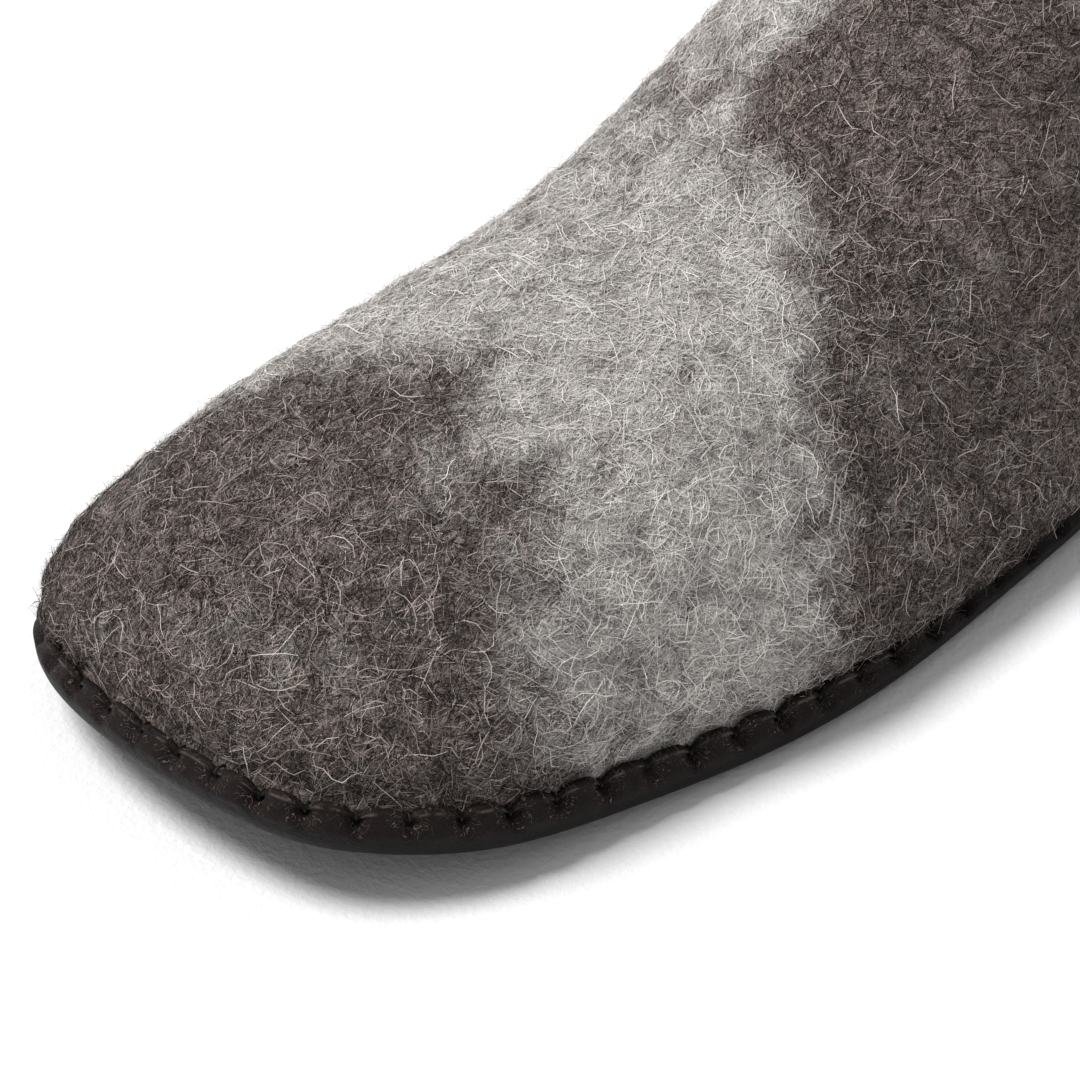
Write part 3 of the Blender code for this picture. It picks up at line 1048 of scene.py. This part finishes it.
# How the nap lies: how much it turns, and its middle direction. How far a fibre's tone strays from the
# felt's, how bright the brightest is, and the shortest and longest as shares of their layer's length.
NAP_TURN = 3.0
NAP_MIDDLE = (-1.5, -0.4, -1.5)
TONE_STRAYS = 0.34
BRIGHTEST = 0.98
LENGTHS = (0.6, 1.4)

# A fibre takes up this much of its map across and along, so that it bakes to a tone of its own
MAP_ACROSS = 0.004
MAP_ALONG = 0.012


def fibre_tree():
    """Geometry nodes that grow the layers of fibres on a felt surface, inside a zone along Y."""
    inputs = {"Felt": "Geometry", "Zone Start": "Float", "Zone End": "Float", "Nap Size": "Float",
              "Seed": "Int"}
    for layer in LAYERS:
        inputs[f"{layer.name} Density"] = "Float"
        inputs[f"{layer.name} Length"] = "Float"
        inputs[f"{layer.name} Shapes"] = "Collection"
    tree = new_tree("wool_fibres", {**inputs, "Wool": "Material"})
    grow = Nodes(tree)
    given = grow.node("NodeGroupInput").outputs
    seed = Value(grow, given["Seed"])
    place = grow.value("GeometryNodeInputPosition")
    y = grow.split(place)[1]
    behind = grow.math("GREATER_THAN", y, given["Zone Start"])
    inside = behind * grow.math("LESS_THAN", y, given["Zone End"])

    def kept(geometry, name, value, kind="FLOAT", domain="POINT"):
        return grow.value("GeometryNodeStoreNamedAttribute", {"data_type": kind, "domain": domain},
                          {"Geometry": geometry, "Name": name, "Value": value})

    drift = grow.drift(place, grow.math("DIVIDE", 1.0, given["Nap Size"]))
    nap = grow.vector("ADD", grow.scaled(drift, NAP_TURN), NAP_MIDDLE)
    layers = []
    for number, layer in enumerate(LAYERS):
        own = seed + number * 10
        density = grow.named("hair") * inside * given[f"{layer.name} Density"]
        scatter = grow.node("GeometryNodeDistributePointsOnFaces", {"distribute_method": "RANDOM"},
                            {"Mesh": given["Felt"], "Density": density, "Seed": own})
        tone = grow.named("light") + grow.chance(-TONE_STRAYS, TONE_STRAYS, own + 1)
        tone = grow.math("MINIMUM", grow.math("MAXIMUM", tone, 0.02), 0.97)
        roots = kept(scatter.outputs["Points"], "wool", tone)
        roots = kept(roots, "tint", grow.chance(layer.pale, BRIGHTEST, own + 2))
        turned_by = grow.chance(-layer.spread, layer.spread, own + 3)
        spin = grow.value("FunctionNodeEulerToRotation", {}, {0: grow.xyz(0, 0, turned_by)})
        aim = grow.value("FunctionNodeRotateRotation", {"rotation_space": "LOCAL"},
                         {0: grow.facing(scatter.outputs["Normal"], nap), 1: spin})
        pick = grow.value("GeometryNodeCollectionInfo", {}, {
            "Collection": given[f"{layer.name} Shapes"], "Separate Children": True, "Reset Children": True})
        size = grow.chance(*LENGTHS, own + 4) * given[f"{layer.name} Length"]
        which = grow.value("FunctionNodeRandomValue", {"data_type": "INT"},
                           {4: 0, 5: STRAND_SHAPES - 1, "Seed": own + 5}, 2)
        layers.append(grow.value("GeometryNodeInstanceOnPoints", {}, {
            "Points": roots, "Instance": pick, "Pick Instance": True, "Instance Index": which,
            "Rotation": aim, "Scale": grow.xyz(size, size, size)}))
    joined = grow.node("GeometryNodeJoinGeometry")
    for hairs in reversed(layers):
        tree.links.new(hairs.socket, joined.inputs[0])
    real = grow.value("GeometryNodeRealizeInstances", {}, {0: joined.outputs[0]})
    spot = grow.xyz(grow.named("wool") + grow.named("side") * MAP_ACROSS,
                    grow.named("tint") + grow.named("along") * MAP_ALONG)
    mapped = kept(real, "OFBake", spot, "FLOAT2", "CORNER")
    done = grow.value("GeometryNodeSetMaterial", {}, {"Geometry": mapped, "Material": given["Wool"]})
    grow.node("NodeGroupOutput", {}, {0: done})
    return tree


def set_inputs(modifier, values):
    """Set a nodes modifier's inputs by name, through their sockets' identifiers."""
    for item in modifier.node_group.interface.items_tree:
        if item.in_out == "INPUT" and item.name in values:
            modifier[item.identifier] = values[item.name]


def as_plain_mesh(name, source, tree, values):
    """What a geometry node tree makes of an object's mesh, as a plain mesh in an object of its own."""
    base = shown(name + "_base", source)
    modifier = base.modifiers.new(name, "NODES")
    modifier.node_group = tree
    set_inputs(modifier, values)
    evaluated = base.evaluated_get(bpy.context.evaluated_depsgraph_get())
    mesh = bpy.data.meshes.new_from_object(evaluated)
    mesh.name = name
    base.modifiers.remove(modifier)
    bpy.data.objects.remove(base)
    return shown(name, mesh)


class SLIPPER_OT_wool(bpy.types.Operator):
    """Grows the felt's fibres: matted ones, longer ones that cross them, and strays"""

    bl_idname = "slipper.wool"
    bl_label = "Wool Fibres"

    def execute(self, context):
        looks = context.scene.slipper_wool
        felt = bpy.data.objects["felt_upper"].data
        tree = fibre_tree()
        finish = fibre_finish()
        shapes = {layer.name: strand_shapes(layer, looks.seed + i) for i, layer in enumerate(LAYERS)}
        for number, zone in enumerate(ZONES):
            values = {"Zone Start": zone.start, "Zone End": zone.end, "Seed": looks.seed + 100 * number,
                      "Wool": finish, "Nap Size": looks.nap_size}
            for layer in LAYERS:
                values[f"{layer.name} Density"] = layer.density * looks.density * zone.share
                values[f"{layer.name} Length"] = layer.length
                values[f"{layer.name} Shapes"] = shapes[layer.name]
            piece = as_plain_mesh(zone.name, felt, tree, values)
            for spare in ("wool", "tint", "along", "side", "light", "hair"):
                found = piece.data.attributes.get(spare)
                if found:
                    piece.data.attributes.remove(found)
            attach(piece, "root")
        for group in shapes.values():
            for strand in list(group.objects):
                bpy.data.objects.remove(strand)
            bpy.data.collections.remove(group)
        bpy.data.node_groups.remove(tree)
        return {"FINISHED"}


# The leather's creases, in millimetres: the hole of a stitch lies this far under the lip, and the rays
# spread from a point a bit over it. Their fan starts and is full, and ends and is full, at these reaches.
HOLE_DOWN = 0.9
RAY_CENTRE = 0.35
FAN_START = (0.6, 1.1)
FAN_END = (3.8, 1.9)

# How many rays there are, how far the noise bends them, and how wide a ray is
RAYS = 3.0
RAY_BEND = 5.2
RAY_WIDTH = 0.11

# The brown, and the creases' painted highlights and rubbed wear, belong to the front, and fade between these
# places along Y
FRONT = (-0.085, -0.035)
BEHIND_WEAR_AND_HIGHLIGHT = 0.35

# Depths of the leather's relief in its rubbed ripples, soft folds and grain, and the size of a grain's cell
RIPPLES = 0.00060
FOLDS = 0.00035
GRAIN = 0.00009
CELL = 0.0008
# Painted shade in each stitch's hole and in the dip that the thread pulls into the lip
STITCH_DIP_SHADE = (0.002, 0.0015, 0.0015)


def leather_finish():
    """Dark leather: smooth below, brown near the lip, with creases that spread from each stitch, painted
    with highlights and rubbed wear.

    The places side, down and reach are in millimetres: along the rim from the nearest stitch, under the
    lip, and from the stitch's hole.
    """
    looks = bpy.context.scene.slipper_leather
    pitch = bpy.context.scene.slipper_sizes.stitch_pitch * 1000
    hide = Finish("dark_leather", Specular_IOR_Level=0.14)
    run, down, _ = hide.split(hide.value("ShaderNodeUVMap", {"uv_map": "Rim"}))
    down = down * 1000
    stitch = hide.math("ROUND", run)
    side = (run - stitch) * pitch
    below = down - HOLE_DOWN
    reach = (side * side + below * below) ** 0.5
    angle = hide.math("ARCTAN2", side, below + RAY_CENTRE)
    drift = hide.value("ShaderNodeTexNoise", {"noise_dimensions": "2D"}, {
        "Vector": hide.xyz(angle * 0.9 + stitch * 7.3, reach * 0.25), "Scale": 1.8, "Detail": 2.0})
    ray = hide.math("PINGPONG", angle * RAYS + drift * RAY_BEND + stitch * 0.37, 0.5)
    rays = hide.ramp(ray, 0.0, RAY_WIDTH, 1.0, 0.0)
    broken = hide.ramp(hide.grain(0.0018, 2.0, 0.6), 0.36, 0.54)
    front = hide.ramp(hide.split(hide.place)[1], *FRONT, 1.0, BEHIND_WEAR_AND_HIGHLIGHT)
    fan = hide.ramp(reach, *FAN_START) * hide.ramp(reach, *FAN_END)
    folds = hide.grain(0.0028, 4.0, 0.65, distortion=1.2)
    upper = hide.ramp(down, 5.4, 2.6) * hide.ramp(folds, 0.30, 0.62, 0.35, 1.0)
    # A painted highlight along the edge of the lip
    lip = hide.ramp(hide.math("ABSOLUTE", down - 0.55), 0.30, 0.05)
    lip = lip * hide.ramp(hide.grain(0.0022), 0.42, 0.60)
    specks = hide.ramp(hide.grain(0.00030, 2.0, 0.7), 0.62, 0.78) * hide.ramp(down, 4.6, 2.4) * 0.3
    # Painted highlights on the creases' rays and along the lip, and rubbed specks of wear
    highlight_and_wear = hide.math("MINIMUM", fan * rays * broken + lip * 0.3 + specks * fan, 1.0) * front
    # Painted shade, near-black, in each stitch's hole and in the dip under the lip where the thread goes
    # over
    dip_shade = hide.ramp(hide.math("ABSOLUTE", side), 0.5, 0.2) * hide.ramp(down, 2.2, 1.2)
    hole = hide.math("MINIMUM", hide.ramp(reach, 1.1, 0.5) + dip_shade, 1.0)
    smooth = hide.mix(upper * front, looks.hide, looks.brown)
    hide.wear(Base_Color=hide.mix(hole, hide.mix(highlight_and_wear, smooth, looks.wear_and_highlight), STITCH_DIP_SHADE))
    hide.wear(Roughness=0.42 + hide.grain(0.004, 3.0, 0.6) * 0.2 + upper * 0.16)
    cells = hide.value("ShaderNodeTexVoronoi", {"feature": "DISTANCE_TO_EDGE"},
                       {"Vector": hide.place, "Scale": 1 / CELL, "Randomness": 1.0})
    grain = hide.ramp(cells, 0.0, 0.12) * 0.5 + hide.grain(0.0004, 3.0, 0.6) * 0.5
    hide.wear(Normal=hide.bump(grain, GRAIN, hide.bump(folds, FOLDS, hide.bump(fan * rays, RIPPLES))))
    return hide.material


# The leather's columns round the shoe, and its rows up the fold, the rim, over the lip and down inside
LEATHER_COLUMNS = 1120
FOLD_ROWS = 7
RIM_ROWS = 22
LIP_ROWS = 10
INSIDE_RIM_ROWS = 4

# The lip's unevenness, the fine ripples of the rim, and how a stitch dents the rim: sizes, heights, and the
# dent's place under the lip, its reach and its depth
LIP_WAVE = (0.006, 0.00035)
PUFF_WAVE = (0.005, 0.6)
RIPPLE = (0.0022, 0.00022)
DENT_DOWN = 0.0013
DENT_REACH = 0.0008
DENT = 0.0007

# Places on the map of the rim, in metres under the lip, of the parts that show no creases
UNDERSIDE_DOWN = 0.012
MIDDLE_DOWN = 0.03
RIM_INSIDE_DOWN = 0.009
TREAD_DOWN = 0.02


class SLIPPER_OT_leather_sole(bpy.types.Operator):
    """Makes the leather sole: a shallow cup whose rim is gathered and scalloped by its stitches"""

    bl_idname = "slipper.leather_sole"
    bl_label = "Leather Sole"

    def execute(self, context):
        last = the_last()
        size = last.size
        looks = context.scene.slipper_leather
        phi = last.rim_angles(LEATHER_COLUMNS)
        pull = last.stitch_pull(phi, LEATHER_PULL)
        around = last.beside(phi, 0)
        shelf = last.placed(around, np.zeros(len(phi)))
        lip = (size.rim_height - looks.side_drop * last.overhang(phi) - looks.scallop * pull
               + LIP_WAVE[1] * unevenness(shelf, LIP_WAVE[0], 21))
        puffed = (1 - np.minimum(pull, 1)) * looks.puff
        puffed *= 1 + PUFF_WAVE[1] * unevenness(shelf, PUFF_WAVE[0], 22)
        half = (size.leather - looks.lean) / 2
        top = last.rim_out - looks.lean - half
        rows = []
        downs = []

        def add(offset, rise, down):
            """A row beside the felt's outline."""
            rows.append(last.on_tread(last.beside(phi, np.broadcast_to(offset, phi.shape)), rise))
            downs.append(np.full(len(phi), down))

        def add_flat(part, rise, down):
            """A row part of the way from the middle to the fold."""
            fold = last.beside(phi, last.rim_out - last.fold)
            flat = blend(last.spine(around[:, 1]), fold, np.full(len(phi), part))
            rows.append(last.on_tread(flat, rise))
            downs.append(np.full(len(phi), down))

        for part in (0, 0.25, 0.5, 0.75, 0.92, 1):
            add_flat(part, 0, UNDERSIDE_DOWN + (1 - part) * MIDDLE_DOWN)
        for quarter in np.linspace(0, math.pi / 2, FOLD_ROWS + 1)[1:]:
            rise = last.fold * (1 - math.cos(quarter))
            add(last.rim_out - last.fold * (1 - math.sin(quarter)), rise, size.rim_height - rise)
        for part in np.linspace(0, 1, RIM_ROWS + 1)[1:]:
            rise = last.fold + (lip - half - last.fold) * part
            down = size.rim_height - (last.fold + (size.rim_height - half - last.fold) * part)
            hole = pull * np.exp(-((down - DENT_DOWN) / DENT_REACH) ** 2)
            drawn = puffed * math.sin(math.pi * 0.9 * part) - looks.pucker * pull * eased(part * 1.4)
            ripple = RIPPLE[1] * unevenness(last.on_tread(around, rise), RIPPLE[0], 23)
            ripple *= float(eased(part * 2))
            lean = looks.lean * eased(part * 1.25 - 0.25)
            add(last.rim_out + drawn + ripple - lean - hole * DENT, rise, down)
        for angle in np.linspace(0, math.pi, LIP_ROWS + 1)[1:]:
            drawn = (0.3 * puffed - looks.pucker * pull) * (1 + math.cos(angle)) / 2
            add(top + half * math.cos(angle) + drawn, lip - half + half * math.sin(angle),
                half * (1 - math.sin(angle)))
        for part in np.linspace(0, 1, INSIDE_RIM_ROWS + 1)[1:]:
            add(last.rim_out - size.leather, (lip - half) * (1 - part) + last.fold * part, RIM_INSIDE_DOWN)
        for quarter in (math.pi / 4, math.pi / 2):
            add(last.rim_out - last.fold + size.fold_round * math.cos(quarter),
                last.fold - size.fold_round * math.sin(quarter), UNDERSIDE_DOWN)
        for part in (0.75, 0.4, 0):
            add_flat(part, size.leather, TREAD_DOWN)

        points, faces = closed_rows(rows)
        mesh = smooth_mesh("leather_sole", points, faces)
        rim_map(mesh, np.tile(last.stitch_count(phi), len(rows)), np.concatenate(downs), last.stitches)
        drop_loose(mesh)
        piece = shown("leather_sole", mesh)
        mesh.materials.append(leather_finish())
        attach(piece, "root")
        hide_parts("sole")
        return {"FINISHED"}


# A face whose counts lie further apart than this share of the lap crosses the seam at the heel
OVER_HALF = 0.51


def rim_map(mesh, count, down, stitches):
    """A map that counts stitches round the rim and gives the distance under its lip, one for each point."""
    corners = np.empty(len(mesh.loops), np.int32)
    mesh.loops.foreach_get("vertex_index", corners)
    sides = np.empty(len(mesh.polygons), np.int32)
    mesh.polygons.foreach_get("loop_total", sides)
    face = np.repeat(np.arange(len(sides)), sides)
    widest = np.full(len(sides), -math.inf)
    np.maximum.at(widest, face, count[corners])
    lap = widest[face] - count[corners] > OVER_HALF * stitches
    across = count[corners] + np.where(lap, stitches, 0)
    layer = mesh.uv_layers.new(name="Rim")
    layer.data.foreach_set("uv", np.column_stack([across, down[corners]]).astype(np.float32).ravel())


def thread_finish():
    """Waxed dark thread with its twist."""
    looks = bpy.context.scene.slipper_leather
    thread = Finish("stitch_thread", Roughness=0.6, Specular_IOR_Level=0.3)
    fibre = thread.grain(0.0003, 2.0, 0.6)
    thread.wear(Base_Color=thread.mix(fibre, looks.thread_colour, looks.brown))
    thread.wear(Normal=thread.bump(fibre, 0.00008))
    return thread.material


# The thread's path in metres: how deep in the leather and how far down it starts, how far it bows out over
# the lip, and how far in over the felt and how far under the lip it ends
THREAD_DEEP = 0.0008
THREAD_DROP = 0.0013
THREAD_BOW = 0.0006
THREAD_IN = 0.0020
THREAD_END = 0.0006


def stitch_tree():
    """Geometry nodes that lay a bent thread over the lip at each point, turned to its outward side."""
    tree = new_tree("rim_stitches", {"Holes": "Geometry", "Diameter": "Float", "Reach In": "Float",
                                     "Drop": "Float", "Thread": "Material"})
    sew = Nodes(tree)
    given = sew.node("NodeGroupInput").outputs
    inward = Value(sew, given["Reach In"]) * -1.0
    drop = Value(sew, given["Drop"]) * -1.0
    bend = sew.value("GeometryNodeCurvePrimitiveBezierSegment", {}, {
        "Resolution": 10, "Start": sew.xyz(-THREAD_DEEP, 0, drop),
        "Start Handle": sew.xyz(THREAD_BOW, 0, drop * 0.4),
        "End Handle": sew.xyz(inward * 0.3, 0, drop * -0.2), "End": sew.xyz(inward, 0, -THREAD_END)})
    ring = sew.value("GeometryNodeCurvePrimitiveCircle", {}, {
        "Resolution": 8, "Radius": Value(sew, given["Diameter"]) * 0.5})
    tube = sew.value("GeometryNodeCurveToMesh", {},
                     {"Curve": bend, "Profile Curve": ring, "Fill Caps": True})
    size = sew.chance(0.85, 1.15)
    laid = sew.value("GeometryNodeInstanceOnPoints", {}, {
        "Points": given["Holes"], "Instance": tube, "Scale": sew.xyz(size, size, size),
        "Rotation": sew.facing((0, 0, 1), sew.named("outward", "FLOAT_VECTOR"))})
    real = sew.value("GeometryNodeRealizeInstances", {}, {0: laid})
    done = sew.value("GeometryNodeSetMaterial", {}, {"Geometry": real, "Material": given["Thread"]})
    sew.node("NodeGroupOutput", {}, {0: done})
    return tree


class SLIPPER_OT_stitches(bpy.types.Operator):
    """Sews the felt to the leather's rim with dark thread that goes over the lip"""

    bl_idname = "slipper.stitches"
    bl_label = "Stitches"

    def execute(self, context):
        last = the_last()
        looks = context.scene.slipper_leather
        run = (np.arange(last.stitches) - STITCH_SHIFT) % last.stitches / last.stitches * last.rim_run[-1]
        phi = np.interp(run, last.rim_run, last.rim_turns)
        tight = last.stitch_pull(phi, 1.0)
        edge = last.beside(phi, last.rim_out - looks.lean - looks.pucker * tight)
        lip = last.size.rim_height - looks.side_drop * last.overhang(phi) - looks.scallop * tight
        holes = bpy.data.meshes.new("stitch_holes")
        holes.from_pydata(last.on_tread(edge, lip).tolist(), [], [])
        outward = np.column_stack([last.outward(phi), np.zeros(len(phi))]).astype(np.float32)
        holes.attributes.new("outward", "FLOAT_VECTOR", "POINT").data.foreach_set("vector", outward.ravel())
        tree = stitch_tree()
        piece = as_plain_mesh("stitches", holes, tree, {
            "Diameter": looks.thread, "Reach In": THREAD_IN, "Drop": THREAD_DROP,
            "Thread": thread_finish()})
        piece.data.shade_smooth()
        bpy.data.node_groups.remove(tree)
        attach(piece, "root")
        return {"FINISHED"}


# The insole's columns round the shoe and rows over its top and its rounded edge. Its top is uneven: sizes
# and heights of its small and broad waves. Its tone is even but for soft clouds.
INSOLE_COLUMNS = 420
INSOLE_EDGE_ROWS = 6
INSOLE_TOP_ROWS = 26
INSOLE_LUMPS = (0.006, 0.0002)
INSOLE_WAVES = (0.03, 0.0003)
INSOLE_LIGHT = 0.40
INSOLE_CLOUDS = (0.03, 0.25)


class SLIPPER_OT_felt_insole(bpy.types.Operator):
    """Makes the felt insole, pressed flat, with soft edges"""

    bl_idname = "slipper.felt_insole"
    bl_label = "Felt Insole"

    def execute(self, context):
        last = the_last()
        size = last.size
        phi = last.rim_angles(INSOLE_COLUMNS)
        edge = last.feather(phi)
        middle = last.spine(edge[:, 1])
        share_in = last.share_at(edge, middle, size.insole)
        inner = blend(edge, middle, share_in) - last.outward(phi) * (size.felt_wall + size.clearance)
        rows = []
        half = size.insole / 2

        def add(part, offset, rise):
            """A row part of the way from the middle to the edge."""
            flat = inner - last.outward(phi) * (half - offset)
            at = blend(middle, flat, np.full(len(phi), part))
            rows.append(last.on_tread(at, last.insole_foot + rise))

        for part in (0, 0.5, 1):
            add(part, 0, 0)
        for angle in np.linspace(-math.pi / 2, math.pi / 2, INSOLE_EDGE_ROWS + 2)[1:-1]:
            add(1, half * math.cos(angle), half * (1 + math.sin(angle)))
        below = len(rows) * len(phi)
        for part in np.linspace(1, 0, INSOLE_TOP_ROWS):
            add(part, 0, size.insole)
        points, faces = closed_rows(rows)
        top = points[below:]
        top[:, 2] += (unevenness(top, INSOLE_LUMPS[0], 5) * INSOLE_LUMPS[1]
                      + unevenness(top, INSOLE_WAVES[0], 6) * INSOLE_WAVES[1])
        mesh = smooth_mesh("felt_insole", points, faces)
        store(mesh, "light", INSOLE_LIGHT + INSOLE_CLOUDS[1] * unevenness(points, INSOLE_CLOUDS[0], 8))
        drop_loose(mesh)
        piece = shown("felt_insole", mesh)
        mesh.materials.append(felt_finish("insole_felt"))
        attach(piece, "root")
        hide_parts("insole")
        return {"FINISHED"}


# The floor's width, and how far it lies under the sole. The camera aims at a point of the vamp, given along
# Y and Z and then moved to the right and down in the picture, in metres. Its sensor is in millimetres.
FLOOR_WIDTH = 8
FLOOR_GAP = 0.0002
TARGET = (-0.0818, 0.020)
TARGET_RIGHT = 0.00262
TARGET_DOWN = 0.00248
SENSOR_WIDTH = 36


class SLIPPER_OT_stage(bpy.types.Operator):
    """Makes the pale floor, the soft light from above the inner side, and the camera"""

    bl_idname = "slipper.stage"
    bl_label = "Stage"

    def execute(self, context):
        looks = context.scene.slipper_stage
        scene = context.scene
        bpy.ops.mesh.primitive_plane_add(size=FLOOR_WIDTH)
        floor = context.object
        floor.name = "floor"
        floor.data.transform(Matrix.Translation((0, 0, -FLOOR_GAP)))
        paper = Finish("pale_floor", Roughness=0.9, Specular_IOR_Level=0.2)
        paper.shader.inputs["Base Color"].default_value = (*looks.floor, 1)
        paper.wear(Normal=paper.bump(paper.grain(0.0011, 3.0, 0.6), 0.00022))
        floor.data.materials.append(paper.material)

        scene.world = bpy.data.worlds.new("studio")
        scene.world.use_nodes = True
        sky = scene.world.node_tree.nodes["Background"].inputs
        sky["Color"].default_value = (1, 1, 1, 1)
        sky["Strength"].default_value = looks.sky

        key = bpy.data.lights.new("key", "SUN")
        key.energy = looks.key
        key.angle = looks.key_spread
        source = Vector((math.cos(looks.key_azimuth) * math.cos(looks.key_elevation),
                         math.sin(looks.key_azimuth) * math.cos(looks.key_elevation),
                         math.sin(looks.key_elevation)))
        shown("key", key).rotation_euler = source.to_track_quat("Z", "Y").to_euler()

        right = Vector((math.cos(looks.azimuth), math.sin(looks.azimuth), 0))
        back = Vector((math.sin(looks.azimuth) * math.cos(looks.elevation),
                       -math.cos(looks.azimuth) * math.cos(looks.elevation), math.sin(looks.elevation)))
        up = back.cross(right)
        target = Vector((-the_last().centre[0], *TARGET)) + right * TARGET_RIGHT - up * TARGET_DOWN
        across = right * math.cos(looks.roll) - up * math.sin(looks.roll)
        rise = right * math.sin(looks.roll) + up * math.cos(looks.roll)
        lens = bpy.data.cameras.new("camera")
        lens.lens = looks.lens
        lens.sensor_width = SENSOR_WIDTH
        lens.clip_end = 20
        camera = shown("camera", lens)
        camera.matrix_world = Matrix.Translation(target + back * looks.distance) @ Matrix(
            (across, rise, back)).transposed().to_4x4()
        scene.camera = camera
        scene.view_settings.view_transform = "Standard"
        return {"FINISHED"}


class SLIPPER_PT_pieces(bpy.types.Panel):
    """Lists the slipper's pieces and the sizes and colours behind them"""

    bl_idname = "SLIPPER_PT_pieces"
    bl_label = "Felt Slipper"
    bl_space_type = "VIEW_3D"
    bl_region_type = "UI"
    bl_category = "Slipper"

    def draw(self, context):
        for operator in OPERATORS:
            self.layout.operator(operator.bl_idname)
        for name in GROUPS:
            group = getattr(context.scene, name)
            box = self.layout.box()
            for field in group.__annotations__:
                box.prop(group, field)


OPERATORS = [SLIPPER_OT_felt_upper, SLIPPER_OT_leather_sole, SLIPPER_OT_stitches, SLIPPER_OT_felt_insole,
             SLIPPER_OT_wool, SLIPPER_OT_stage]
GROUPS = {"slipper_sizes": SlipperSizes, "slipper_wool": WoolLooks, "slipper_leather": LeatherLooks,
          "slipper_stage": StageLooks}


def register():
    for item in [*GROUPS.values(), *OPERATORS, SLIPPER_PT_pieces]:
        bpy.utils.register_class(item)
    for name, group in GROUPS.items():
        setattr(bpy.types.Scene, name, PointerProperty(type=group))


def unregister():
    for name in GROUPS:
        delattr(bpy.types.Scene, name)
    for item in reversed([*GROUPS.values(), *OPERATORS, SLIPPER_PT_pieces]):
        bpy.utils.unregister_class(item)


def main():
    register()
    bpy.ops.slipper.felt_upper()
    bpy.ops.slipper.leather_sole()
    bpy.ops.slipper.stitches()
    bpy.ops.slipper.felt_insole()
    bpy.ops.slipper.wool()
    bpy.ops.slipper.stage()


if __name__ == "__main__":
    main()
